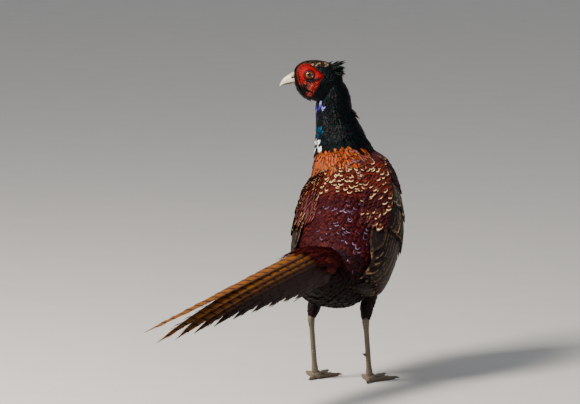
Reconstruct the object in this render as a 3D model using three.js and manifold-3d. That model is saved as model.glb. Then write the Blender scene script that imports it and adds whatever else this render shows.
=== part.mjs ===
// A cock common pheasant at life size: it stands upright on both feet and looks back over its left shoulder.
// Millimetres, +Z up. The bird faces -Y, its left is +X, and the soles stand at z = 0.
// The body is modelled whole, from the vent to the top of the neck, and parted with thin cuts.

import * as THREE from "three";
import { mergeVertices } from "three/addons/utils/BufferGeometryUtils.js";
import Module from "manifold-3d";

const wasm = await Module();
wasm.setup();

// Gap between neighbouring pieces, and how much a piece grows where another is cut back to it
const GAP = 0.3;
const CLEAR = 0.5;
const VANE = 0.8; // thickness of a feather's vane

const UP = new THREE.Vector3(0, 0, 1);
const degrees = THREE.MathUtils.degToRad;

// Whole bird: stations from the vent to the top of the neck.
// Each has its middle (forward, left, up) and the coat's reach (to each side, to the back, to the belly).
const BODY = [
  { middle: [-170, 7, 148], reach: [0, 0, 0] },
  { middle: [-138, 3, 143], reach: [27, 18, 22] },
  { middle: [-108, 1, 140], reach: [42, 30, 37] },
  { middle: [-65, -2, 155], reach: [57, 55, 61] },
  { middle: [-15, 2.5, 195], reach: [61, 62, 68] },
  { middle: [22, 12, 240], reach: [54, 52, 53] },
  { middle: [38, 24, 275], reach: [40, 41, 32] },
  { middle: [41, 33, 305], reach: [31, 28, 25] },
  { middle: [40, 39.5, 332], reach: [23.5, 21.5, 21] },
  { middle: [38, 42, 358], reach: [21.5, 18, 18] },
  { middle: [36, 46, 380], reach: [13, 13, 13] },
  { middle: [34, 49, 392], reach: [0, 0, 0] },
];
const BODY_AROUND = 28;
const BODY_RINGS = 31;
const NECK_BASE = 6.75; // station where the torso ends and the neck begins

// Head: its own frame has its origin midway between the eyes
const HEAD_ORIGIN = [27.5, 71.5, 386];
const HEAD_TURN = 110; // to the left of straight ahead
// Sections along the head: forward of the eyes, top, bottom, half width
const SKULL = [
  [-44, -13, -13, 0],
  [-42, -2, -24, 9],
  [-35, 9, -32, 14.5],
  [-24, 14.2, -36, 17],
  [-12, 16.7, -37, 17],
  [0, 16.8, -33.5, 15],
  [9, 14.6, -28.5, 12],
  [15, 10.6, -21.5, 9.5],
  [19, 5, -14, 6.5],
  [20.5, -3, -3, 0],
];
const EYE_RADIUS = 7;
const EYE_SPREAD = 11.4; // from the middle of the head to each eye's centre
const LID_RADIUS = 5.4;
const LID_THICKNESS = 1.15;

function at(forward, left, up) {
  return new THREE.Vector3(left, -forward, up);
}

// A closed mesh's solid, turned face out
function solidOf(geometry) {
  const bare = geometry.index ? geometry.toNonIndexed() : geometry.clone();
  bare.deleteAttribute("normal");
  bare.deleteAttribute("uv");
  const merged = mergeVertices(bare, 1e-3);
  const triVerts = new Uint32Array(merged.index.array);
  const vertProperties = merged.attributes.position.array;
  const made = new wasm.Manifold(new wasm.Mesh({ numProp: 3, vertProperties, triVerts }));
  if (made.volume() > 0) return made;
  for (let i = 0; i < triVerts.length; i += 3) {
    [triVerts[i + 1], triVerts[i + 2]] = [triVerts[i + 2], triVerts[i + 1]];
  }
  return new wasm.Manifold(new wasm.Mesh({ numProp: 3, vertProperties, triVerts }));
}

// The largest closed surface of a solid: it fills sealed hollows and drops scraps
function largest(solid) {
  return solid.decompose().reduce((best, piece) => (piece.volume() > best.volume() ? piece : best));
}

function join(pieces) {
  return wasm.Manifold.union(pieces);
}

function geometryOf(solid) {
  const mesh = solid.getMesh();
  const geometry = new THREE.BufferGeometry();
  const points = new Float32Array(mesh.numVert * 3);
  for (let i = 0; i < mesh.numVert; i++) {
    points.set(mesh.vertProperties.subarray(i * mesh.numProp, i * mesh.numProp + 3), i * 3);
  }
  geometry.setAttribute("position", new THREE.BufferAttribute(points, 3));
  geometry.setIndex(new THREE.BufferAttribute(mesh.triVerts, 1));
  geometry.computeVertexNormals();
  return geometry;
}

// A closed skin: a sphere's rings laid along surface(along 0..1, angle)
function skin(around, rings, surface) {
  const geometry = new THREE.SphereGeometry(1, around, rings);
  const { position, uv } = geometry.attributes;
  for (let i = 0; i < position.count; i++) {
    const point = surface(1 - uv.getY(i), 2 * Math.PI * uv.getX(i));
    position.setXYZ(i, point.x, point.y, point.z);
  }
  return solidOf(geometry);
}

// A closed sheet over a grid: upper(u, v) is its outer face and lower(u, v) its inner one, u and v in 0 to 1.
// Both faces are split into triangles alike.
function sheet(lengths, widths, upper, lower) {
  const points = [];
  for (const face of [upper, lower]) {
    for (let i = 0; i <= lengths; i++) {
      for (let j = 0; j <= widths; j++) points.push(face(i / lengths, j / widths));
    }
  }
  const row = widths + 1;
  const under = (lengths + 1) * row;
  const index = [];
  const quad = (a, b, c, d) => index.push(a, b, c, a, c, d);
  for (let i = 0; i < lengths; i++) {
    for (let j = 0; j < widths; j++) {
      const a = i * row + j;
      quad(a, a + row, a + row + 1, a + 1);
      index.push(under + a, under + a + row + 1, under + a + row);
      index.push(under + a, under + a + 1, under + a + row + 1);
    }
    const first = i * row;
    const last = first + widths;
    quad(first, under + first, under + first + row, first + row);
    quad(last, last + row, under + last + row, under + last);
  }
  for (let j = 0; j < widths; j++) {
    const end = lengths * row + j;
    quad(j, j + 1, under + j + 1, under + j);
    quad(end, under + end, under + end + 1, end + 1);
  }
  const geometry = new THREE.BufferGeometry().setFromPoints(points);
  geometry.setIndex(index);
  return solidOf(geometry);
}

// Smooth curves through the stations, so that station n of N is at n / (N - 1)
function throughStations(rows) {
  return new THREE.CatmullRomCurve3(rows, false, "catmullrom", 0.5);
}

const bodyMiddle = throughStations(BODY.map(({ middle }) => at(...middle)));
const bodyReach = throughStations(BODY.map(({ reach }) => new THREE.Vector3(...reach)));
const station = (number) => number / (BODY.length - 1);

// The body's own directions at a place along it: towards the head, the left and the back
function bodyAxes(along) {
  const ahead = bodyMiddle.getTangent(along);
  const left = new THREE.Vector3(1, 0, 0).addScaledVector(ahead, -ahead.x).normalize();
  const dorsal = new THREE.Vector3().crossVectors(ahead, left);
  return { ahead, left, dorsal };
}

// A point of the coat: angle 0 is the left, a quarter turn the back; grow stands it off
function bodyPoint(along, angle, grow = 0) {
  const { left, dorsal } = bodyAxes(along);
  const reach = bodyReach.getPoint(along);
  const side = Math.max(reach.x, 0) + grow;
  const height = Math.max(Math.sin(angle) > 0 ? reach.y : reach.z, 0) + grow;
  return bodyMiddle
    .getPoint(along)
    .addScaledVector(left, side * Math.cos(angle))
    .addScaledVector(dorsal, height * Math.sin(angle));
}

// For a form grown on all sides: its sides swell except at the closed ends, which move outwards instead
function swell(along) {
  const { smoothstep } = THREE.MathUtils;
  const ends = smoothstep(along, 0.85, 1) - 1 + smoothstep(along, 0, 0.15);
  return { sides: along > 0 && along < 1 ? 1 : 0, ends };
}

function bodySkin(grow) {
  return skin(BODY_AROUND, BODY_RINGS, (along, angle) => {
    const { sides, ends } = swell(along);
    return bodyPoint(along, angle, grow * sides).addScaledVector(bodyMiddle.getTangent(along), grow * ends);
  });
}

// Small differences from one feather to the next, the same at every run
function variation(seed) {
  let state = seed;
  return () => {
    state = (state * 1664525 + 1013904223) % 4294967296;
    return state / 2147483648 - 1;
  };
}

// A feather's vane: place(share along it, millimetres across it, lift) lays it out.
// halfWidth(share) is its outline.
function vane(lengths, widths, place, halfWidth) {
  const face = (lift) => (share, across) => place(share, (2 * across - 1) * halfWidth(share), lift);
  return sheet(lengths, widths, face(VANE / 2), face(-VANE / 2));
}

// Outlines as shares of the full half width
const ROUND_VANE = [
  [0, 0.45],
  [0.3, 0.95],
  [0.65, 1],
  [0.88, 0.75],
  [1, 0.2],
];
const POINTED_VANE = [
  [0, 0.4],
  [0.12, 1],
  [0.55, 0.85],
  [0.85, 0.6],
  [1, 0.07],
];

// Splits a solid by a plane into what lies ahead of it and behind it, with the gap between them
function part(solid, point, normal) {
  const direction = normal.clone().normalize();
  const offset = point.dot(direction);
  const ahead = solid.trimByPlane(direction.toArray(), offset + GAP / 2);
  const back = solid.trimByPlane(direction.clone().negate().toArray(), GAP / 2 - offset);
  return [ahead, back];
}

// Head frame: forward along the bill, left towards the left eye, up
const headMiddle = at(...HEAD_ORIGIN);
const headForward = at(1, 0, 0).applyAxisAngle(UP, degrees(HEAD_TURN));
const headLeft = headForward.clone().applyAxisAngle(UP, degrees(90));

function headAt(forward, left, up) {
  return headMiddle
    .clone()
    .addScaledVector(headForward, forward)
    .addScaledVector(headLeft, left)
    .add(new THREE.Vector3(0, 0, up));
}

const CHEEK = 0.12; // how much wider the cheeks are than the crown
const skullHeights = throughStations(SKULL.map((row) => new THREE.Vector3(row[0], row[1], row[2])));
const skullWidths = throughStations(SKULL.map((row) => new THREE.Vector3(row[3], 0, 0)));

function skullPoint(along, angle, grow = 0) {
  const { x: forward, y: top, z: bottom } = skullHeights.getPoint(along);
  const width = Math.max(skullWidths.getPoint(along).x, 0) + grow;
  const height = Math.max(top - bottom, 0) / 2 + grow;
  const side = width * Math.cos(angle) * (1 - CHEEK * Math.sin(angle));
  return headAt(forward, side, (top + bottom) / 2 + height * Math.sin(angle));
}

function skull(grow) {
  return skin(24, 20, (along, angle) => {
    const { sides, ends } = swell(along);
    return skullPoint(along, angle, grow * sides).addScaledVector(headForward, grow * ends);
  });
}

// Bill: where the two halves meet, as a height below the eyes at places forward of them
const MOUTH_LINE = [
  [9, -9.2],
  [18, -9.9],
  [24, -11],
  [29, -12.2],
  [33.6, -13.7],
  [36.6, -15.2],
  [38.4, -16.9],
];
const MOUTH_GAP = 0.55;
// Sections: forward of the eyes, height of the ridge from the mouth line, half width
const UPPER_BILL = [
  [12, 0, 0],
  [13.5, 14.4, 6.4],
  [19, 14.2, 6.1],
  [24, 11.4, 5.1],
  [29, 9.6, 4],
  [33.6, 6.6, 2.8],
  [36.6, 3.3, 1.7],
  [38.1, 0.9, 0.6],
  [38.4, 0, 0],
];
const LOWER_BILL = [
  [9, 0, 0],
  [11, -5, 4.8],
  [18, -4.6, 4.9],
  [24, -3.6, 4],
  [29, -2.5, 3],
  [33, -1.5, 1.9],
  [35.2, 0, 0],
];

// One half of the bill: flat along the mouth, round on its other side
function bill(rows, around, rings, offset) {
  const sections = throughStations(rows.map((row) => new THREE.Vector3(...row)));
  return skin(around, rings, (along, angle) => {
    const { x: forward, y: ridge, z: width } = sections.getPoint(along);
    const rise = Math.sin(angle) * Math.sign(ridge || 1);
    const height = rise > 0 ? ridge * Math.pow(rise, 0.85) : 0;
    const side = Math.max(width, 0) * Math.cos(angle) * (1 - 0.25 * Math.max(rise, 0));
    return headAt(forward, side, interpolate(MOUTH_LINE, forward, 1) + offset + height);
  });
}

// Nostrils: a slit on each side of the upper bill under a horny flap
const NOSTRIL = { place: [23.2, 4, -3.7], size: [2, 1, 0.6] };
const NOSTRIL_FLAP = { place: [22.8, 2.9, -2], size: [3.2, 1.2, 1.4] };

function nostrilForm(side, { place: [forward, left, up], size }) {
  const form = new THREE.SphereGeometry(1, 6, 4);
  form.scale(size[0], size[2], size[1]);
  form.applyMatrix4(new THREE.Matrix4().makeBasis(headForward, UP, headLeft));
  form.translate(...headAt(forward, side * left, up).toArray());
  return solidOf(form);
}

// Ear tufts: locks that rise from each side of the back of the crown and point backwards
const TUFT = { locks: 4, root: [-30, 6.5, 3], length: 20, radius: 2.3 };

function tuft(side) {
  const vary = variation(side > 0 ? 3 : 8);
  return Array.from({ length: TUFT.locks }, (_, i) => {
    const share = (2 * i) / (TUFT.locks - 1) - 1;
    const [forward, left, up] = TUFT.root;
    const root = headAt(forward + vary(), side * (left + vary()), up + 3 * share);
    const length = TUFT.length * (1 + 0.12 * vary());
    const tip = headAt(forward - length, side * (left + 4.5 + 1.5 * vary()), up + 7 + 9 * share);
    const direction = tip.sub(root);
    return skin(5, 4, (along, angle) => {
      const radius = TUFT.radius * (1 - along ** 2) * (along > 0 ? 1 : 0);
      return root
        .clone()
        .addScaledVector(direction, along)
        .add(new THREE.Vector3(0, 0, 4 * along * (1 - along) + 0.7 * radius * Math.sin(angle)))
        .addScaledVector(headLeft, 0.5 * radius * Math.cos(angle));
    });
  });
}

// Wing: stands off the body from the shoulder (front) to the tip, between an upper and a lower edge
const WING_FRONT = 5.95;
const WING_TIP = 1.72;
const WING_STAND_OFF = [
  [1.7, 4.5],
  [2, 5.5],
  [3, 8.5],
  [4, 10.5],
  [5, 8.5],
  [6, 4.5],
];
// Edges as angles round the body at places from the shoulder (0) to the tip (1)
const WING_EDGES = [
  [0, 8, -4],
  [0.1, 36, -36],
  [0.3, 47, -44],
  [0.6, 46, -38],
  [0.85, 24, -27],
  [1, -3, -14],
];

function interpolate(rows, place, column) {
  const next = rows.findIndex((row) => row[0] >= place);
  if (next <= 0) return rows[next < 0 ? rows.length - 1 : 0][column];
  const [before, after] = [rows[next - 1], rows[next]];
  const share = (place - before[0]) / (after[0] - before[0]);
  return THREE.MathUtils.lerp(before[column], after[column], THREE.MathUtils.smoothstep(share, -0.35, 1.35));
}

function wingPoint(side, along, angle, lift) {
  const standOff = interpolate(WING_STAND_OFF, along * (BODY.length - 1), 1);
  const turned = side > 0 ? angle : Math.PI - angle;
  return bodyPoint(along, turned, standOff + lift);
}

function wingPlace(side, share, across, lift) {
  const along = station(THREE.MathUtils.lerp(WING_FRONT, WING_TIP, share));
  const upper = degrees(interpolate(WING_EDGES, share, 1));
  const lower = degrees(interpolate(WING_EDGES, share, 2));
  return wingPoint(side, along, THREE.MathUtils.lerp(lower, upper, across), lift);
}

// The wing's body, under its feathers: reach is how far it stands out and spreads past its edges
function wingBody(side, reach) {
  const crown = (across) => -1.6 * Math.pow(2 * across - 1, 4);
  const depth = (share) => THREE.MathUtils.lerp(16, 5, THREE.MathUtils.smoothstep(share, 0.5, 0.9));
  const margin = reach / 70;
  const place = (share, across, lift) =>
    wingPlace(side, share * (0.9 + margin), across * (1 + 2 * margin) - margin, lift);
  return sheet(
    9,
    5,
    (share, across) => place(share, across, crown(across) + reach),
    (share, across) => place(share, across, crown(across) - depth(share) - Math.max(reach, 0)),
  );
}

// Rows of wing feathers, from the lowest layer to the topmost: primaries, secondaries, tertials,
// greater, median and lesser coverts, and scapulars. Lift raises the tips.
// Roots and tips are those of the row's first and last feather:
// share of the wing's length, angle round the body.
const WING_ROWS = [
  { count: 3, halfWidth: 8, lift: -1.5, roots: [[0.52, -27], [0.52, -18]], tips: [[0.9, -25], [1.02, -9]] },
  { count: 5, halfWidth: 11.5, lift: 0, roots: [[0.4, -36], [0.44, 16]], tips: [[0.8, -32], [0.9, 3]] },
  { count: 2, halfWidth: 11.5, lift: 1, roots: [[0.46, 26], [0.42, 37]], tips: [[0.86, 12], [0.74, 25]] },
  { count: 5, halfWidth: 12, lift: 0, roots: [[0.26, -38], [0.3, 28]], tips: [[0.53, -40], [0.58, 26]] },
  { count: 4, halfWidth: 13, lift: 0, roots: [[0.14, -31], [0.17, 30]], tips: [[0.35, -38], [0.39, 32]] },
  { count: 3, halfWidth: 13, lift: 0, roots: [[0.05, -13], [0.05, 20]], tips: [[0.2, -28], [0.23, 34]] },
  { count: 3, halfWidth: 12, lift: 1.6, roots: [[0.08, 34], [0.36, 42]], tips: [[0.42, 48], [0.7, 37]] },
];
const WING_REACH = 8; // usual height of the feathers above the body's sides
const WING_CORE = -4; // how far the wing's body lies below the faces of its feathers
const WING_LEAN = 1.6; // how far each feather's lower edge is raised over the next one
// Rise of a feather from its sunk root to its free tip
const WING_RISE = [
  [0, -7],
  [0.25, -3],
  [0.65, -1.2],
  [1, 0.6],
];

function wingFeather(side, root, tip, halfWidth, raised) {
  const place = (share, across, lift) => {
    const [distance, turn] = [0, 1].map((i) => THREE.MathUtils.lerp(root[i], tip[i], share));
    const along = station(THREE.MathUtils.lerp(WING_FRONT, WING_TIP, distance));
    const angle = degrees(turn) + across / (bodyReach.getPoint(along).x + WING_REACH);
    const rise = interpolate(WING_RISE, share, 1) + raised * share;
    return wingPoint(side, along, angle, rise + lift - (WING_LEAN * across) / halfWidth);
  };
  return vane(3, 1, place, (share) => halfWidth * interpolate(ROUND_VANE, share, 1));
}

// How far the roots and the tips stray: share of the wing's length, degrees round the body
const WING_WANDER = { roots: { along: 0.004, round: 0.25 }, tips: { along: 0.012, round: 0.7 } };

function featheredWing(side) {
  const vary = variation(side > 0 ? 11 : 29);
  const feathers = WING_ROWS.flatMap(({ count, roots, tips, halfWidth, lift }) =>
    Array.from({ length: count }, (_, i) => {
      const spot = ([first, last], { along, round }) => [
        THREE.MathUtils.lerp(first[0], last[0], i / (count - 1)) + along * vary(),
        THREE.MathUtils.lerp(first[1], last[1], i / (count - 1)) + round * vary(),
      ];
      return wingFeather(side, spot(roots, WING_WANDER.roots), spot(tips, WING_WANDER.tips), halfWidth, lift);
    }),
  );
  return join([wingBody(side, WING_CORE), ...feathers]);
}

// Tail: a vaulted fan of feathers on a ridge line that starts on the rump
const TAIL_ROOT = [-90, -2, 193];
const TAIL_LENGTH = 480;
const TAIL_YAW = 8; // to the bird's left
const TAIL_PITCH = -6.5;
const TAIL_START = -6; // inside the rump
const TAIL_CORE = 132; // where the base of the tail, under the feathers, ends
const TAIL_LAYER = 1.25; // from one layer of feathers to the next
const tailOut = at(-1, 0, 0)
  .applyAxisAngle(UP, degrees(-TAIL_YAW))
  .applyAxisAngle(new THREE.Vector3(1, 0, 0), degrees(TAIL_PITCH));
const tailLeft = new THREE.Vector3().crossVectors(UP, tailOut).negate().normalize();
const tailUp = new THREE.Vector3().crossVectors(tailLeft, tailOut).normalize();

// A point of the vault: roll is the turn round it from the ridge, and bend lowers it
function tailPoint(distance, roll, radius, bend = 0) {
  return at(...TAIL_ROOT)
    .addScaledVector(tailOut, distance)
    .addScaledVector(tailUp, -tailVault(distance) - bend + radius * Math.cos(roll))
    .addScaledVector(tailLeft, radius * Math.sin(roll));
}

function tailVault(distance) {
  return THREE.MathUtils.lerp(31, 15, distance / TAIL_LENGTH);
}

// The vault's own radius, larger at the sides than at the ridge
function vaultRadius(distance, roll) {
  const root = THREE.MathUtils.lerp(0.5, 1, THREE.MathUtils.smoothstep(distance, TAIL_START, 75));
  return tailVault(distance) * root * (1 + 0.22 * (1 - Math.cos(roll)));
}

function tailBase(grow = 0) {
  return skin(16, 8, (along, angle) => {
    const roll = angle > Math.PI ? angle - 2 * Math.PI : angle;
    const distance = THREE.MathUtils.lerp(TAIL_START, TAIL_CORE, along);
    const girth = Math.sqrt(1 - Math.pow(Math.max(0, along - 0.5) / 0.5, 2.5));
    const below = 1 - 0.55 * THREE.MathUtils.smoothstep(Math.abs(roll), Math.PI / 2, Math.PI);
    const open = along > 0 && along < 1 ? 1 : 0;
    return tailPoint(distance, roll, ((vaultRadius(distance, roll) * below - 1.2) * girth + grow) * open);
  });
}

// Pairs of tail feathers, from the longest in the middle to the shortest at the sides:
// roll of its middle round the vault, length, and how far its tip bends down
const TAIL_PAIRS = [
  { roll: 30, length: 408, droop: 22 },
  { roll: 50, length: 352, droop: 21 },
  { roll: 69, length: 290, droop: 19 },
  { roll: 87, length: 226, droop: 15 },
  { roll: 103, length: 168, droop: 12 },
];
// The two middle feathers differ: the left one is straight, and the right one bends down
const TAIL_MIDDLE = [
  { side: 1, roll: 9, length: 494, droop: 2 },
  { side: -1, roll: 9, length: 475, droop: 27 },
];
const TAIL_HALF_WIDTH = 12.5;
const TAIL_COVERTS = { count: 5, spread: 52, length: 90, halfWidth: 12.5 };

function tailFeather(side, layer, { roll, length, droop }) {
  const place = (share, across, lift) => {
    const distance = THREE.MathUtils.lerp(TAIL_START, length, share);
    const turn = side * degrees(roll) + across / tailVault(distance);
    const radius = vaultRadius(distance, turn) - TAIL_LAYER * layer + lift;
    return tailPoint(distance, turn, radius, droop * Math.pow(share, 3));
  };
  const width = TAIL_HALF_WIDTH * THREE.MathUtils.lerp(0.85, 1, length / TAIL_LENGTH);
  return vane(Math.round(2 + length / 140), 2, place, (share) => width * interpolate(POINTED_VANE, share, 1));
}

function tailCovert(layer, roll, length, halfWidth) {
  const place = (share, across, lift) => {
    const distance = THREE.MathUtils.lerp(TAIL_START, length, share);
    const turn = degrees(roll) + across / tailVault(distance);
    const rise = THREE.MathUtils.lerp(-5, 3.6, Math.sqrt(share)) - TAIL_LAYER * layer;
    return tailPoint(distance, turn, vaultRadius(distance, turn) + rise + lift);
  };
  return vane(3, 2, place, (share) => halfWidth * interpolate(ROUND_VANE, share, 1));
}

function featheredTail() {
  const vary = variation(5);
  const middle = TAIL_MIDDLE.map((feather, i) => tailFeather(feather.side, i, feather));
  const pairs = TAIL_PAIRS.flatMap((feather, i) => [1, -1].map((side) => tailFeather(side, i + 2, feather)));
  const { count, spread, length, halfWidth } = TAIL_COVERTS;
  const coverts = Array.from({ length: count }, (_, i) => {
    const share = (2 * i) / (count - 1) - 1;
    const layer = Math.abs(i - (count - 1) / 2);
    return tailCovert(layer, spread * share, length * (1 - 0.28 * share * share) + 4 * vary(), halfWidth);
  });
  return join([tailBase(), ...middle, ...pairs, ...coverts]);
}

// Legs
const HOCK = [-62, 80]; // forward, up
const FOOT = [-44, 9];
const STANCE = 37; // from the middle of the bird to each foot
const THIGH_TOP = [-22, 150];

function limb(around, rings, from, to, reach) {
  const ahead = to.clone().sub(from);
  const left = new THREE.Vector3(1, 0, 0).addScaledVector(ahead, -ahead.x / ahead.lengthSq()).normalize();
  const front = new THREE.Vector3().crossVectors(ahead, left).normalize();
  return skin(around, rings, (along, angle) => {
    const { x: side, y: depth } = reach(along, angle);
    return from
      .clone()
      .addScaledVector(ahead, along)
      .addScaledVector(left, side * Math.cos(angle))
      .addScaledVector(front, depth * Math.sin(angle));
  });
}

function rounded(along, sharpness) {
  return Math.pow(Math.max(0, 1 - Math.pow(Math.abs(2 * along - 1), sharpness)), 0.5);
}

function thigh(side) {
  const from = at(THIGH_TOP[0], side * (STANCE - 6), THIGH_TOP[1]);
  const to = at(HOCK[0], side * STANCE, HOCK[1]);
  return limb(14, 8, from, to, (along) => {
    const girth = THREE.MathUtils.lerp(34, 8, Math.pow(along, 0.65));
    return new THREE.Vector2(girth * 0.66, girth).multiplyScalar(rounded(along, 10));
  });
}

const SHANK = { halfWidth: 3.1, halfDepth: 4.2 };
// How much the shank thickens at the hock and at the ankle, and where
const JOINTS = [
  { place: 0.08, size: 1.8 },
  { place: 0.95, size: 1.6 },
];
const SPUR = { up: 36, length: 11, radius: 3 };
const SCUTES = 11; // plates down the front of the shank
const SCUTE_HEIGHT = 0.7;
const ANKLE = 9; // height of the cut between shank and foot

function shank(side) {
  const from = at(HOCK[0], side * STANCE, HOCK[1] + 6);
  const to = at(FOOT[0] - 1, side * STANCE, FOOT[1] - 3);
  const bone = limb(8, 2 * SCUTES, from, to, (along, angle) => {
    const swelling = ({ place, size }) => size * Math.exp(-Math.pow((along - place) / 0.1, 2));
    const knob = JOINTS.reduce((sum, joint) => sum + swelling(joint), 0);
    const ring = Math.round(along * 2 * SCUTES);
    const scute = ring % 2 === 1 && along < 0.96 ? SCUTE_HEIGHT * Math.max(0, Math.sin(angle)) : 0;
    const side = SHANK.halfWidth + 0.8 * knob + 0.6 * scute;
    return new THREE.Vector2(side, SHANK.halfDepth + knob + scute).multiplyScalar(rounded(along, 14));
  });
  const share = (SPUR.up - FOOT[1]) / (HOCK[1] - FOOT[1]);
  const forward = THREE.MathUtils.lerp(FOOT[0], HOCK[0], share);
  const root = at(forward - 2, side * (STANCE - 1), SPUR.up);
  const tip = at(forward - 3 - SPUR.length, side * (STANCE - 4), SPUR.up + 4);
  const spur = limb(6, 4, root, tip, (along) => {
    const radius = SPUR.radius * (1 - along) * Math.min(1, along * 6);
    return new THREE.Vector2(radius, radius);
  });
  return join([bone, spur]);
}

// Toes: angle outwards from straight ahead, length, root radius
const TOES = {
  inner: { turn: -34, length: 37, radius: 4 },
  middle: { turn: 2, length: 50, radius: 4.4 },
  outer: { turn: 36, length: 40, radius: 4 },
  hind: { turn: 172, length: 15, radius: 3.4 },
};
const CLAW_LENGTH = { inner: 10, middle: 12, outer: 10, hind: 8 };
const CLAW = { radius: 2.1, lift: 0.6, droop: 1.3 };
const TOE_START = -4; // inside the palm
const TOE_TAPER = 0.35;
const TOE_PADS = 0.12; // how far the pads under the toes swell
const HIND_RAISE = 3; // the hind toe starts higher on the shank
const SOLE = 0.8; // share of the toe's radius that its middle stands above the floor

function toePoint(side, toe, distance, up) {
  const turn = degrees(toe.turn) * side;
  return at(FOOT[0] + distance * Math.cos(turn), side * STANCE + distance * Math.sin(turn), up);
}

function toeAhead(side, toe) {
  return toePoint(side, toe, 1, 0).sub(toePoint(side, toe, 0, 0));
}

function toeAcross(side, toe) {
  return new THREE.Vector3().crossVectors(UP, toeAhead(side, toe));
}

// How thick a toe still is at a share of its length
function toeRadius(toe, along) {
  return toe.radius * (1 - TOE_TAPER * along);
}

function toeForm(side, toe) {
  const raise = toe === TOES.hind ? HIND_RAISE : 0;
  return skin(6, 7, (along, angle) => {
    const open = along > 0 ? rounded(0.12 + 0.88 * along, 8) : 0;
    const radius = toeRadius(toe, along) * (1 + TOE_PADS * Math.cos(along * Math.PI * 6)) * open;
    const height = toeRadius(toe, along) * SOLE + raise * (1 - along);
    return toePoint(side, toe, THREE.MathUtils.lerp(TOE_START, toe.length, along), height)
      .addScaledVector(toeAcross(side, toe), radius * Math.cos(angle))
      .addScaledVector(UP, radius * Math.sin(angle));
  });
}

// Where a toe ends and its claw begins
function clawCut(side, toe) {
  return { point: toePoint(side, toe, toe.length - 1.6, 0), normal: toeAhead(side, toe) };
}

const PALM = [6.4, 7.2, 6.8];

function foot(side) {
  const palm = new THREE.SphereGeometry(1, 8, 6).scale(...PALM);
  palm.translate(...at(FOOT[0], side * STANCE, PALM[2] - 0.8).toArray());
  const toes = Object.values(TOES).map((toe) => {
    const { point, normal } = clawCut(side, toe);
    return part(toeForm(side, toe), point, normal)[1];
  });
  return join([solidOf(palm), ...toes]).trimByPlane([0, 0, 1], 0);
}

function claw(side, toe, length) {
  const { point, normal } = clawCut(side, toe);
  const form = skin(6, 5, (along, angle) => {
    const radius = CLAW.radius * (1 - 0.9 * along) * Math.min(1, along * 6) * (along < 1 ? 1 : 0);
    const height = toeRadius(toe, 1) * SOLE + CLAW.lift - CLAW.droop * along * along;
    return toePoint(side, toe, toe.length - 3 + length * along, height)
      .addScaledVector(toeAcross(side, toe), 0.75 * radius * Math.cos(angle))
      .addScaledVector(UP, radius * Math.sin(angle));
  });
  return part(form, point, normal)[0].trimByPlane([0, 0, 1], 0.05);
}

// Bare red face: its outline round the eye (forward, up), and how far it swells
const WATTLE_OUTLINE = [
  [16.5, 1],
  [13.8, 8.8],
  [8, 12.6],
  [0.8, 13],
  [-6.6, 10],
  [-13, 4.5],
  [-20, -2],
  [-15.5, -8],
  [-11.5, -16],
  [-8.2, -23],
  [-2.6, -29.8],
  [2.4, -30.4],
  [7.8, -24.6],
  [11.5, -17],
  [14.6, -8],
];
const WATTLE_MIDDLE = [0, -6];
const WATTLE_AROUND = 24;
const WATTLE_SWELL = 2.8;
const WATTLE_BULB = 0.5;
// Folds of the face: a place they pass (forward, up), their direction, depth and width
const WATTLE_FOLDS = [
  { through: [-9, -8], direction: [1, -0.45], depth: 1, width: 2.4 },
  { through: [0, -22], direction: [1, 0.5], depth: 1, width: 2.4 },
];
const wattleEdge = new THREE.CatmullRomCurve3(
  WATTLE_OUTLINE.map(([forward, up]) => new THREE.Vector3(forward, up, 0)),
  true,
  "catmullrom",
  0.5,
);

// How far the side of the head reaches out at a place on it
function cheekReach(forward, up) {
  let [low, high] = [0, 1];
  for (let i = 0; i < 16; i++) {
    const middle = (low + high) / 2;
    if (skullHeights.getPoint(middle).x < forward) low = middle;
    else high = middle;
  }
  const { y: top, z: bottom } = skullHeights.getPoint(low);
  const rise = THREE.MathUtils.clamp((2 * up - top - bottom) / (top - bottom), -0.95, 0.95);
  return skullWidths.getPoint(low).x * Math.sqrt(1 - rise * rise) * (1 - CHEEK * rise);
}

function foldDepth(forward, up) {
  return WATTLE_FOLDS.reduce((sum, { through, direction, depth, width }) => {
    const across = (forward - through[0]) * direction[1] - (up - through[1]) * direction[0];
    return sum + depth * Math.exp(-Math.pow(across / width, 2));
  }, 0);
}

// Round the eye the face rises to the lids: how far out,
// and the distances from the eye at which the rise is full and nil
const EYE_MOUND = { reach: EYE_SPREAD + 4.3, full: 6, foot: 12 };

// The bare skin of one side: a lens with its outer rings outside the cheek and its inner ones sunk in it
function wattle(side, outerRings, innerRings) {
  const rings = outerRings + innerRings;
  return skin(WATTLE_AROUND, rings, (along, angle) => {
    const ring = along * rings;
    const outside = ring < outerRings;
    const share = outside ? Math.sin((Math.PI / 2) * (ring / outerRings)) : (rings - ring) / innerRings;
    const [forward, up] = wattlePlace(share, angle);
    const cheek = cheekReach(forward, up);
    const dome = WATTLE_SWELL * Math.sqrt(1 - Math.pow(share, 3));
    if (!outside) return headAt(forward, side * (cheek - dome), up);
    const ripple = WATTLE_BULB * Math.sin(0.8 * forward + 0.3 * up) * Math.sin(0.8 * up);
    const fade = THREE.MathUtils.smoothstep(share, 0.15, 0.4) - THREE.MathUtils.smoothstep(share, 0.8, 1);
    const relief = (ripple - foldDepth(forward, up)) * fade;
    const rise = 1 - THREE.MathUtils.smoothstep(Math.hypot(forward, up), EYE_MOUND.full, EYE_MOUND.foot);
    const reach = THREE.MathUtils.lerp(cheek + dome + relief, EYE_MOUND.reach, rise);
    return headAt(forward, side * (share < 1 ? reach : cheek), up);
  });
}

function wattlePlace(share, angle) {
  const edge = wattleEdge.getPoint(angle / (2 * Math.PI));
  return [
    THREE.MathUtils.lerp(WATTLE_MIDDLE[0], edge.x, share),
    THREE.MathUtils.lerp(WATTLE_MIDDLE[1], edge.y, share),
  ];
}

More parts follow.
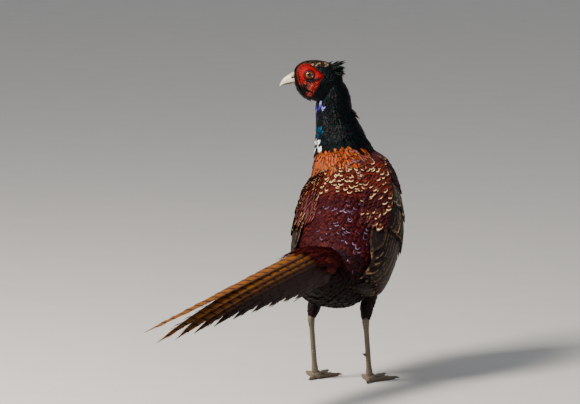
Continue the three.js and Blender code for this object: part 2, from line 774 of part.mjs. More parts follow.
// The hollow of the head that takes the bare skin, a gap wider and open outwards
function faceSocket(side) {
  const rings = 5;
  return skin(WATTLE_AROUND, rings, (along, angle) => {
    const ring = along * rings;
    const outside = ring < 2.5;
    const share = ring < 3 ? Math.min(1, ring / 2) : (rings - ring) / 2;
    const [forward, up] = wattlePlace(share * (1 + GAP / 9), angle);
    const depth = WATTLE_SWELL * Math.sqrt(1 - Math.pow(share, 3)) + 1.5 * GAP;
    return headAt(forward, side * (cheekReach(forward, up) + (outside ? 6 : -depth)), up);
  });
}

// The ring of the eyelids
function lids(side) {
  const ring = new THREE.TorusGeometry(LID_RADIUS, LID_THICKNESS, 4, 12);
  const frame = new THREE.Matrix4().makeBasis(headForward, UP, headLeft);
  ring.applyMatrix4(frame);
  const out = EYE_SPREAD + Math.sqrt(EYE_RADIUS ** 2 - LID_RADIUS ** 2) + 0.2;
  ring.translate(...headAt(0, side * out, 0).toArray());
  return solidOf(ring);
}

function eyeball(side, grow) {
  const ball = new THREE.SphereGeometry(EYE_RADIUS + grow, 14, 8);
  ball.translate(...headAt(0, side * EYE_SPREAD, 0).toArray());
  return solidOf(ball);
}

const SIDES = { left: 1, right: -1 };
const COLOURS = {
  plumage: [0x6e2f1e, 0.6],
  neck: [0x10201f, 0.35],
  wattle: [0xc01214, 0.6],
  bill: [0xe4d8c4, 0.45],
  eye: [0xd9861c, 0.15],
  wing: [0x6b4a3a, 0.6],
  tail: [0x8a5a30, 0.65],
  leg: [0x8c8678, 0.6],
  claw: [0x4a4038, 0.5],
};

const bird = new THREE.Group();

function add(name, solid, colour) {
  const [color, roughness] = COLOURS[colour];
  const mesh = new THREE.Mesh(
    geometryOf(largest(solid)),
    new THREE.MeshStandardMaterial({ color, roughness, metalness: 0 }),
  );
  mesh.name = name;
  bird.add(mesh);
}

const grownBody = bodySkin(CLEAR);
const grownSkull = skull(CLEAR);
const sides = Object.entries(SIDES);

// Torso, neck and head are one form parted by two thin cuts
const neckBase = station(NECK_BASE);
const throat = headAt(-8, 0, -39);
const nape = headAt(-50, 0, -12);
const throatNormal = new THREE.Vector3().crossVectors(nape.clone().sub(throat), headLeft);
if (throatNormal.z < 0) throatNormal.negate();
const [aboveTorso, torso] = part(bodySkin(0), bodyMiddle.getPoint(neckBase), bodyMiddle.getTangent(neckBase));
const [headForm, neck] = part(join([aboveTorso, skull(0)]), throat, throatNormal);

const sockets = sides.flatMap(([, side]) => [eyeball(side, GAP), faceSocket(side)]);
const tufts = sides.flatMap(([, side]) => tuft(side));
add("head", join([headForm.subtract(join(sockets)), ...tufts]), "neck");
add("neck", neck, "neck");
const nostrilFlaps = sides.map(([, side]) => nostrilForm(side, NOSTRIL_FLAP));
const nostrils = sides.map(([, side]) => nostrilForm(side, NOSTRIL));
const upperBill = join([bill(UPPER_BILL, 10, 11, 0), ...nostrilFlaps]).subtract(join(nostrils));
add("bill_upper", upperBill.subtract(grownSkull), "bill");
add("bill_lower", bill(LOWER_BILL, 10, 9, -MOUTH_GAP).subtract(grownSkull), "bill");

const tail = featheredTail().subtract(grownBody);
const tailRoom = tailBase(3);
add("torso", torso, "plumage");
add("tail", tail, "tail");

for (const [name, side] of sides) {
  add(`eye_${name}`, eyeball(side, 0), "eye");
  const face = join([wattle(side, 8, 2), lids(side)]).subtract(eyeball(side, GAP));
  add(`wattle_${name}`, face, "wattle");
  add(`wing_${name}`, featheredWing(side).subtract(grownBody).subtract(tailRoom), "wing");

  // The wing lies over the thigh, the thigh ends at the hock, and the shank ends on the foot
  const hock = at(HOCK[0] + 2, side * STANCE, HOCK[1] + 4);
  const down = at(FOOT[0] - THIGH_TOP[0], 0, FOOT[1] - THIGH_TOP[1]);
  const thighForm = part(thigh(side).subtract(grownBody), hock, down)[1];
  add(`thigh_${name}`, thighForm.subtract(wingBody(side, 2.5)), "plumage");
  const shankForm = part(shank(side), hock, down)[0];
  add(`shank_${name}`, part(shankForm, at(0, 0, ANKLE), UP)[0], "leg");
  add(`foot_${name}`, part(foot(side), at(0, 0, ANKLE), UP)[1], "leg");
  for (const [toeName, toe] of Object.entries(TOES)) {
    add(`claw_${toeName}_${name}`, claw(side, toe, CLAW_LENGTH[toeName]), "claw");
  }
}

// The origin is on the floor, under the middle of the whole bird
const box = new THREE.Box3().setFromObject(bird);
const middle = box.getCenter(new THREE.Vector3());
bird.position.set(-middle.x, -middle.y, -box.min.z);

export default bird;
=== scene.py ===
"""A cock common pheasant at life size: a still museum model that looks back over its left shoulder.

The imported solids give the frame. The skin, the feathers, the face, the bill and the legs are made here
from the same sections as the solids. Sizes are millimetres in the bird's own frame (left, backwards, up)
until they are put into a mesh, which is in metres in the shared frame.
"""

import logging
import math
from dataclasses import dataclass, field, replace
from enum import Enum
from typing import Callable

import bpy
import numpy as np
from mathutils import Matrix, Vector
from mathutils.bvhtree import BVHTree
from mathutils.kdtree import KDTree


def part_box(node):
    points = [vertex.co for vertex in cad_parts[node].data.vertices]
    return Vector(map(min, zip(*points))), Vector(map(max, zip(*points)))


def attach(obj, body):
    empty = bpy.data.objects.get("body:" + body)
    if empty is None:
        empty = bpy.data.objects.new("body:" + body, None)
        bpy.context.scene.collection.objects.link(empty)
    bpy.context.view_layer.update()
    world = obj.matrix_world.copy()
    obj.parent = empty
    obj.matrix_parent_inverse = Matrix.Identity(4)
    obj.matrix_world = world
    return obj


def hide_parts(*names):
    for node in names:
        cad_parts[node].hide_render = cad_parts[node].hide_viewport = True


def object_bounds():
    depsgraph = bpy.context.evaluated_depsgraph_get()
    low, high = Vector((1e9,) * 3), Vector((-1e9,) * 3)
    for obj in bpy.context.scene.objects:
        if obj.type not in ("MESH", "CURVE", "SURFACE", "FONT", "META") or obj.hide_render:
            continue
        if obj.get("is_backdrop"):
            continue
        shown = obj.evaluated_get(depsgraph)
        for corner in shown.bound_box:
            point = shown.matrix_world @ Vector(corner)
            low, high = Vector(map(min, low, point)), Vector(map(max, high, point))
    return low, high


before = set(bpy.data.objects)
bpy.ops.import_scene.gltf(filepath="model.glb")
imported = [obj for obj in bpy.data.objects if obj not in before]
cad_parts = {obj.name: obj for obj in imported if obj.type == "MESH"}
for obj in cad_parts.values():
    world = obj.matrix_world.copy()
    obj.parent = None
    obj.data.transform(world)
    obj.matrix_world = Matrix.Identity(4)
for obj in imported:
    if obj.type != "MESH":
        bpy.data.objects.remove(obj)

log = logging.getLogger("pheasant")

Array = np.ndarray
Surface = Callable[[Array, Array, Array], Array]
Socket = bpy.types.NodeSocket
Piece = bpy.types.Object
Material = bpy.types.Material
Draw = np.random.Generator
Pair = tuple[float, float]
Triple = tuple[float, float, float]
Rgba = tuple[float, float, float, float]
Numbers = tuple[float, ...]
Table = tuple[Numbers, ...]

MM = 0.001
BODY = "root"
PATCH = 0.003  # size of a feather's patch on the bake map
POLE = 0.999999  # height on a ball of radius 1 from which a point is its pole
SEAM = 2e-6  # metres within which points of a seam are one
UP = np.array([0.0, 0.0, 1.0])
CAD_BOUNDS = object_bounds()


class Slot(Enum):
    """Names of the material slots."""

    BODY = "body_plumage"
    NECK = "neck_plumage"
    HEAD = "head_plumage"
    WING = "wing_feathers"
    TAIL = "tail_feathers"
    THIGH = "thigh_plumage"
    FACE = "wattle_skin"
    BILL = "bill"
    EYE = "eye"
    LEG = "leg_skin"
    CLAW = "claw"


def linear(code: int) -> Rgba:
    """Turns an sRGB hex number into linear light with full alpha.

    Args:
        code: The hex number.

    Returns:
        Red, green, blue and alpha.
    """
    parts = [((code >> shift) & 255) / 255 for shift in (16, 8, 0)]
    red, green, blue = (p / 12.92 if p <= 0.04045 else ((p + 0.055) / 1.055) ** 2.4 for p in parts)
    return (red, green, blue, 1.0)


class Hue(Enum):
    """Colours of the bird, as sRGB."""

    BLACK = 0x080505
    NECK = 0x030406
    GREEN = 0x041518
    TEAL = 0x0C5474
    VIOLET = 0x3C3298
    LILAC = 0x8478D8
    WHITE = 0xF0EEE8
    CROWN = 0x2C1C10
    CROWN_PALE = 0x7A6450
    GOLD = 0x923C00
    ORANGE = 0x842804
    RUFOUS = 0x4C1006
    MAROON = 0x38060C
    WINE = 0x20060C
    PURPLE = 0x300A1A
    # Painted glint: pale lilac marks on feathers of the back, rump and left wing that stand for their sheen
    # catching the light.
    GLINT = 0x9884A6
    PINK = 0x6C3224
    CREAM = 0xE0C490
    BUFF = 0xB8986A
    BREAST = 0x82280A
    BELLY = 0x140A08
    FLANK = 0x8C4816
    WING_DARK = 0x140A0A
    WING_GREY = 0x332C26
    WING_BUFF = 0x8C6A44
    TAIL = 0x8A5008
    TAIL_BAR = 0x140A08
    # Dark colour of the side webs, also used as painted shade on the tail's side.
    TAIL_SIDE = 0x1C1518
    TAIL_FRINGE = 0x40202A
    FACE = 0x8E0002
    FACE_DEEP = 0x3C0204
    FACE_DARK = 0x0E0304
    FACE_PALE = 0xB8705A
    IRIS = 0xC06408
    IRIS_RIM = 0x7A3C0C
    PUPIL = 0x050404
    LID = 0x240C0C
    BILL = 0xDCCFB6
    BILL_BASE = 0xB4A48A
    BILL_UNDER = 0x6A5C4A
    LEG = 0x6A5E4E
    LEG_DARK = 0x453C33
    CLAW = 0x4A4038
    CLAW_TIP = 0x1E1814

    @property
    def rgba(self) -> Rgba:
        """The colour in linear light."""
        return linear(self.value)


# Numbers and curves


def ease(value: Array | float, low: float, high: float) -> Array:
    """Rises smoothly from 0 at low to 1 at high."""
    share = np.clip((np.asarray(value, float) - low) / (high - low), 0, 1)
    return share * share * (3 - 2 * share)


def between(start: Array | float, end: Array | float, share: Array | float) -> Array:
    """The number at a share of the way from start to end."""
    return start + (end - start) * np.asarray(share, float)


def eased_rows(rows: Table, place: Array, column: int) -> Array:
    """Reads one column of a table, eased from row to row.

    Args:
        rows: Rows that begin with their place, in rising order.
        place: Where to read.
        column: Which number of a row to read.

    Returns:
        The numbers at those places.
    """
    table = np.array(rows, float)
    place = np.clip(place, table[0, 0], table[-1, 0])
    row = np.clip(np.searchsorted(table[:, 0], place), 1, len(table) - 1)
    share = (place - table[row - 1, 0]) / (table[row, 0] - table[row - 1, 0])
    return between(table[row - 1, column], table[row, column], ease(share, -0.35, 1.35))


def unit(vector: Array) -> Array:
    """The vector at length 1."""
    return vector / np.linalg.norm(vector, axis=-1, keepdims=True)


@dataclass(frozen=True)
class Curve:
    """A smooth curve through rows of numbers, over shares from 0 to 1."""

    rows: Array
    closed: bool = False

    def at(self, share: Array | float) -> Array:
        """The row at a share of the curve.

        Args:
            share: Where on the curve, from 0 to 1.

        Returns:
            The row of numbers there.
        """
        rows = self.rows
        count = len(rows) if self.closed else len(rows) - 1
        place = (np.mod(share, 1) if self.closed else np.clip(share, 0, 1)) * count
        index = np.minimum(np.floor(place).astype(int), count - 1)
        part = (place - index)[..., None]
        if self.closed:
            rows = np.vstack([rows[-1], rows, rows[:2]])
        else:
            rows = np.vstack([2 * rows[0] - rows[1], rows, 2 * rows[-1] - rows[-2]])
        before, start, end, after = (rows[index + i] for i in range(4))
        leave, arrive = 0.5 * (end - before), 0.5 * (after - start)
        cubic = 2 * start - 2 * end + leave + arrive
        square = -3 * start + 3 * end - 2 * leave - arrive
        return cubic * part**3 + square * part**2 + leave * part + start

    def heading(self, share: Array | float) -> Array:
        """The curve's direction at a share of it."""
        share = np.clip(share, 1e-4, 1 - 1e-4)
        return unit(self.at(share + 1e-4) - self.at(share - 1e-4))


def at(forward: Array | float, left: Array | float, up: Array | float) -> Array:
    """A point from how far forward, left and up it is."""
    return np.stack(np.broadcast_arrays(left, -np.asarray(forward, float), up), axis=-1).astype(float)


def lying_on(surface: Surface, spots: Array) -> Array:
    """The points of a form at places on it, one row of two parameters each."""
    return surface(*spots.T, np.zeros(len(spots)))


def tinted(first: Array | Hue, second: Hue, share: Array) -> Array:
    """Colours on the way from the first to the second, by each point's own share."""
    start = np.array(first.rgba) if isinstance(first, Hue) else first
    return start + (np.array(second.rgba) - start) * share[:, None]


def side_name(side: int) -> str:
    """Which side of the bird 1 and -1 are."""
    return "left" if side > 0 else "right"


# The bird's form, with the solids' own sections


@dataclass(frozen=True)
class Trunk:
    """The form from the vent to the top of the neck: station by station its middle and its reach."""

    stations: Table = (
        (-170, 7, 148, 0, 0, 0),
        (-138, 3, 143, 27, 18, 22),
        (-108, 1, 140, 42, 30, 37),
        (-65, -2, 155, 57, 55, 61),
        (-15, 2.5, 195, 61, 62, 68),
        (22, 12, 240, 54, 52, 53),
        (38, 24, 275, 40, 41, 32),
        (41, 33, 305, 31, 28, 25),
        (40, 39.5, 332, 23.5, 21.5, 21),
        (38, 42, 358, 21.5, 18, 18),
        (36, 46, 380, 13, 13, 13),
        (34, 49, 392, 0, 0, 0),
    )

    def at(self, station: Array, angle: Array, lift: Array) -> Array:
        """A point of the coat, where angle 0 is the left and a quarter turn the back.

        Args:
            station: Which station, with the places between them.
            angle: Angle round the form.
            lift: Height over the form.

        Returns:
            The point.
        """
        along = np.asarray(station, float) / (len(self.stations) - 1)
        middle = Curve(at(*np.array(self.stations)[:, :3].T))
        reach = Curve(np.array(self.stations, float)[:, 3:]).at(along)
        ahead = middle.heading(along)
        left = unit(np.array([1.0, 0, 0]) - ahead * ahead[..., :1])
        back = np.cross(ahead, left)
        side = np.maximum(reach[..., 0] + lift, 0)
        height = np.maximum(np.where(np.sin(angle) > 0, reach[..., 1], reach[..., 2]) + lift, 0)
        across = left * (side * np.cos(angle))[..., None] + back * (height * np.sin(angle))[..., None]
        return middle.at(along) + across


@dataclass(frozen=True)
class Head:
    """The head, in its own frame with the origin midway between the eyes."""

    origin: Triple = (27.5, 71.5, 386)
    turn: float = 110
    sections: Table = (
        (-44, -13, -13, 0),
        (-42, -2, -24, 9),
        (-35, 9, -32, 14.5),
        (-24, 14.2, -36, 17),
        (-12, 16.7, -37, 17),
        (0, 16.8, -33.5, 15),
        (9, 14.6, -28.5, 12),
        (15, 10.6, -21.5, 9.5),
        (19, 5, -14, 6.5),
        (20.5, -3, -3, 0),
    )
    cheek: float = 0.12
    eye_spread: float = 11.4
    eye_radius: float = 7

    @property
    def forward(self) -> Array:
        """The direction of the bill."""
        return np.array([math.sin(math.radians(self.turn)), -math.cos(math.radians(self.turn)), 0])

    @property
    def left(self) -> Array:
        """The direction of the left eye."""
        return np.cross(UP, self.forward)

    def place(self, forward: Array | float, left: Array | float, up: Array | float) -> Array:
        """A point in the bird's frame from one in the head's."""
        spot = np.stack(np.broadcast_arrays(forward, left, up), axis=-1).astype(float)
        return at(*self.origin) + spot @ np.stack([self.forward, self.left, UP])

    def at(self, along: Array, angle: Array, lift: Array) -> Array:
        """A point of the coat from the nape to the forehead.

        Args:
            along: From the nape (0) to the forehead (1).
            angle: Angle round the head, 0 on the left.
            lift: Height over the form.

        Returns:
            The point.
        """
        row = Curve(np.array(self.sections, float)).at(along)
        width = np.maximum(row[..., 3] + lift, 0)
        height = np.maximum((row[..., 1] - row[..., 2]) / 2 + lift, 0)
        side = width * np.cos(angle) * (1 - self.cheek * np.sin(angle))
        return self.place(row[..., 0], side, (row[..., 1] + row[..., 2]) / 2 + height * np.sin(angle))

    def reach(self, forward: Array, up: Array) -> Array:
        """How far the side of the head stands out at a place on it.

        Args:
            forward: How far in front of the eyes.
            up: How far above the eyes.

        Returns:
            The half width there, in millimetres.
        """
        table = Curve(np.array(self.sections, float)).at(np.linspace(0, 1, 400))
        top, bottom, width = (np.interp(forward, table[:, 0], table[:, i]) for i in (1, 2, 3))
        rise = np.clip((2 * up - top - bottom) / (top - bottom), -0.95, 0.95)
        return width * np.sqrt(1 - rise**2) * (1 - self.cheek * rise)


TRUNK = Trunk()
HEAD = Head()
PUFF = ((4.5, 0), (5.5, 6.5), (6.5, 6), (7.3, 4), (8.5, 3.5), (9.6, 0.5), (10, 0))


def coat(station: Array, angle: Array, lift: Array) -> Array:
    """The trunk's coat, fluffed out at the left of throat and breast, where the neck turns.

    Args:
        station: Which station of the trunk.
        angle: Angle round the form.
        lift: Height over the form.

    Returns:
        The point.
    """
    turn = np.mod(np.degrees(angle) + 180, 360) - 180
    puff = eased_rows(PUFF, station, 1) * np.exp(-(((turn - 5) / 38) ** 2))
    return TRUNK.at(station, angle, lift + puff)


LEFT_EYE = np.mean([np.array(corner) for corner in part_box("eye_left")], axis=0)
SHIFT = HEAD.place(0, HEAD.eye_spread, 0) - LEFT_EYE / MM


@dataclass(frozen=True)
class Limb:
    """A straight form between two points, whose reach to the side and to the front varies along it."""

    start: Array
    end: Array
    reach: Callable[[Array, Array], tuple[Array, Array]]

    def loft(self, name: str, around: int, rings: int, lift: float = 0) -> Piece:
        """The form as a closed piece, with points round it and rings along it."""
        return loft(name, around, rings, lambda along, angle: self.at(along, angle, lift))

    def at(self, along: Array, angle: Array, lift: Array) -> Array:
        """A point of its surface.

        Args:
            along: Share of its length.
            angle: Angle round the form.
            lift: Height over the form.

        Returns:
            The point.
        """
        ahead = self.end - self.start
        left = unit(np.array([1.0, 0, 0]) - ahead * ahead[0] / (ahead @ ahead))
        front = unit(np.cross(ahead, left))
        side, depth = (np.maximum(size + lift, 0)[..., None] for size in self.reach(along, angle))
        turn = np.asarray(angle)[..., None]
        middle = self.start + ahead * np.asarray(along)[..., None]
        return middle + left * side * np.cos(turn) + front * depth * np.sin(turn)


def rounded(along: Array, sharpness: float) -> Array:
    """Full along a form and nil at both its ends."""
    return np.sqrt(np.maximum(0, 1 - np.abs(2 * along - 1) ** sharpness))


# Meshes


def only(piece: Piece) -> None:
    """Makes one piece the only selected and the active one.

    Args:
        piece: The piece.
    """
    bpy.ops.object.select_all(action="DESELECT")
    piece.select_set(True)
    bpy.context.view_layer.objects.active = piece


def vertices(piece: Piece) -> Array:
    """The piece's points, in metres.

    Args:
        piece: The piece.

    Returns:
        One row of three numbers for each point.
    """
    flat = np.zeros(len(piece.data.vertices) * 3)
    piece.data.vertices.foreach_get("co", flat)
    return flat.reshape(-1, 3)


def move_vertices(piece: Piece, points: Array) -> None:
    """Moves the piece's points, given in metres."""
    piece.data.vertices.foreach_set("co", points.ravel())
    piece.data.update()


def to_frame(points: Array) -> Array:
    """Millimetres of the bird's own frame as metres of the shared one."""
    return (points - SHIFT) * MM


def from_frame(points: Array) -> Array:
    """Metres of the shared frame as millimetres of the bird's own one."""
    return points / MM + SHIFT


def flatten(piece: Piece, floor: float) -> Array:
    """Lifts the points that lie under a height to it, so that the piece has a flat there.

    Args:
        piece: The piece.
        floor: The height, in millimetres.

    Returns:
        All its points, in the bird's frame.
    """
    points = vertices(piece)
    points[:, 2] = np.maximum(points[:, 2], floor * MM)
    move_vertices(piece, points)
    return from_frame(points)


def face_outwards(piece: Piece) -> None:
    """Closes its seam and poles, turns its faces outwards and shades it smooth.

    Args:
        piece: The piece.
    """
    only(piece)
    bpy.ops.object.mode_set(mode="EDIT")
    bpy.ops.mesh.select_all(action="SELECT")
    bpy.ops.mesh.remove_doubles(threshold=SEAM)
    bpy.ops.mesh.normals_make_consistent(inside=False)
    bpy.ops.object.mode_set(mode="OBJECT")
    bpy.ops.object.shade_smooth()


def loft(name: str, around: int, rings: int, surface: Callable[[Array, Array], Array]) -> Piece:
    """Adds a sphere and lays its rings along a surface.

    Args:
        name: Name of the piece.
        around: Points round each ring.
        rings: Rings from pole to pole.
        surface: Gives places in millimetres from along (0 to 1) and angle.

    Returns:
        The closed piece.
    """
    bpy.ops.object.select_all(action="DESELECT")
    bpy.ops.mesh.primitive_uv_sphere_add(segments=around, ring_count=rings, radius=1, location=(0, 0, 0))
    piece = bpy.context.object
    piece.name = piece.data.name = name
    ball = vertices(piece)
    along = np.arccos(np.clip(-ball[:, 2], -1, 1)) / math.pi
    angle = np.where(np.abs(ball[:, 2]) > POLE, 0, np.arctan2(ball[:, 1], ball[:, 0]))
    move_vertices(piece, to_frame(surface(along, angle)))
    face_outwards(piece)
    return piece


def ellipsoid(name: str, around: int, rings: int, place: Surface, centre: Numbers, radii: Numbers) -> Piece:
    """Adds an ellipsoid whose poles lie before and behind its centre.

    Args:
        name: Name of the piece.
        around: Points round each ring.
        rings: Rings from pole to pole.
        place: Gives points from how far forward, left and up they are.
        centre: How far forward, left and up its centre is.
        radii: Its three radii.

    Returns:
        The piece.
    """

    def surface(along: Array, angle: Array) -> Array:
        """A point of it.

        Args:
            along: Share of the way between its poles.
            angle: Angle round it.

        Returns:
            The point.
        """
        ring = np.sin(along * math.pi)
        way = (-np.cos(along * math.pi), ring * np.cos(angle), ring * np.sin(angle))
        return place(*(middle + radius * part for middle, radius, part in zip(centre, radii, way)))

    return loft(name, around, rings, surface)


def modify(piece: Piece, kind: str, **settings: object) -> None:
    """Adds a modifier with its settings and applies it.

    Args:
        piece: The piece.
        kind: Blender's name for the modifier.
        **settings: The modifier's own options.
    """
    only(piece)
    modifier = piece.modifiers.new(kind.title(), kind)
    for key, value in settings.items():
        setattr(modifier, key, value)
    bpy.ops.object.modifier_apply(modifier=modifier.name)


def combine(piece: Piece, tool: Piece, operation: str) -> None:
    """Joins another closed form to a piece or cuts it out of it, and removes it."""
    modify(piece, "BOOLEAN", object=tool, operation=operation, solver="MANIFOLD")
    bpy.data.objects.remove(tool)


def join(name: str, pieces: list[Piece]) -> Piece:
    """Joins pieces into one.

    Args:
        name: Name of the result.
        pieces: The pieces.

    Returns:
        The one piece that is left.
    """
    only(pieces[0])
    for piece in pieces:
        piece.select_set(True)
    bpy.ops.object.join()
    joined = bpy.context.object
    joined.name = joined.data.name = name
    return joined


def remesh(piece: Piece, voxel: float, rounds: int) -> None:
    """Melts joined forms into one skin of small squares, and smooths it.

    Args:
        piece: The piece, of forms that overlap.
        voxel: Size of a square, in millimetres.
        rounds: How often it is smoothed.
    """
    modify(piece, "REMESH", mode="VOXEL", voxel_size=voxel * MM, use_smooth_shade=True)
    modify(piece, "SMOOTH", factor=0.5, iterations=rounds)


def add_trait(mesh: bpy.types.Mesh, name: str, values: Array) -> None:
    """Stores a number or a colour for each point.

    Args:
        mesh: The mesh.
        name: Name of the attribute.
        values: The numbers, or rows of four for colours.
    """
    kind, key = ("FLOAT_COLOR", "color") if values.ndim == 2 else ("FLOAT", "value")
    attribute = mesh.attributes.new(name, kind, "POINT")
    attribute.data.foreach_set(key, values.astype(np.float32).ravel())


def finish(piece: Piece, slot: Slot, material: Material, nodes: tuple[str, ...] = ()) -> None:
    """Gives a finished piece its material, lets it ride with the bird and reports it.

    Args:
        piece: The piece.
        slot: Not used.
        material: Its finish.
        nodes: The solids that it stands for.
    """
    piece.data.materials.clear()
    piece.data.materials.append(material)
    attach(piece, BODY)
    if nodes:
        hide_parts(*nodes)
    log.info("%s: %d faces", piece.name, len(piece.data.polygons))


# Vanes: closed lens-shaped feathers, many in one mesh


@dataclass(frozen=True)
class Vane:
    """How one kind of feather is divided, outlined and curved. Sizes in millimetres."""

    lengths: int = 5
    widths: int = 4
    crowding: float = 1.5
    outline: Table = (
        (0, 0.35), (0.25, 0.95), (0.55, 1), (0.75, 0.9), (0.88, 0.7), (0.96, 0.42), (1, 0.14),
    )
    thickness: float = 0.5
    crown: float = 0.8
    ragged: float = 0.05
    rounding: float = 0.08

    def grid(self) -> tuple[Array, Array, int]:
        """Numbers the points of the upper and the lower face, which share the outline.

        Returns:
            The numbers of both faces by row and column, and how many points there are.
        """
        rows, columns = self.lengths + 1, self.widths + 1
        upper = np.arange(rows * columns).reshape(rows, columns)
        lower = upper.copy()
        inner = (rows - 2) * (columns - 2)
        lower[1:-1, 1:-1] = rows * columns + np.arange(inner).reshape(rows - 2, columns - 2)
        return upper, lower, rows * columns + inner

    def faces(self) -> Array:
        """Four-sided faces of both sides.

        Returns:
            The four corners of each face.
        """
        upper, lower, _ = self.grid()
        first, last = slice(0, -1), slice(1, None)
        corners = [(first, first), (first, last), (last, last), (last, first)]
        top = np.stack([upper[spot].ravel() for spot in corners], axis=1)
        bottom = np.stack([lower[spot].ravel() for spot in corners[::-1]], axis=1)
        return np.vstack([top, bottom])

    def rim(self) -> Array:
        """Numbers of the points round the outline, in order."""
        upper, _, _ = self.grid()
        return np.concatenate([upper[0], upper[1:, -1], upper[-1, -2::-1], upper[-2:0:-1, 0]])


@dataclass
class Plot:
    """Where each feather of a tract goes: its root and its tip on the form, and its size."""

    root: Array
    tip: Array
    half_width: Array
    sink: Array
    rise: Array
    lean: Array


def plot(
    root: Array,
    tip: Array,
    half_width: Array | float,
    sink: Array | float,
    rise: Array | float,
    lean: float = 0,
) -> Plot:
    """A plot whose sizes may be one number for all feathers.

    Args:
        root: Roots on the form.
        tip: Tips on the form.
        half_width: Half widths.
        sink: How deep the roots lie.
        rise: How high the tips stand.
        lean: How far one side stands over the other.

    Returns:
        The plot.
    """
    sizes = (half_width, sink, rise, lean)
    full = [np.broadcast_to(np.asarray(size, float), len(root)).copy() for size in sizes]
    return Plot(np.asarray(root, float), np.asarray(tip, float), *full)


def scales(surface: Surface, spot: Array) -> tuple[Array, Array]:
    """How many millimetres a step of each parameter is, and which hand the two have.

    Args:
        surface: The form.
        spot: Places on it, one row of two parameters each.

    Returns:
        The two scales of each place, and 1 or -1.
    """
    step, zero = 1e-3, np.zeros(len(spot))
    first, second = (
        (surface(*(spot + move).T, zero) - surface(*(spot - move).T, zero)) / (2 * step)
        for move in (np.array([step, 0]), np.array([0, step]))
    )
    outward = surface(*spot.T, zero + 1) - surface(*spot.T, zero)
    hand = np.sign(np.einsum("ij,ij->i", np.cross(first, second), outward))
    size = np.stack([np.linalg.norm(first, axis=1), np.linalg.norm(second, axis=1)], axis=1)
    return np.maximum(size, 1e-3), hand


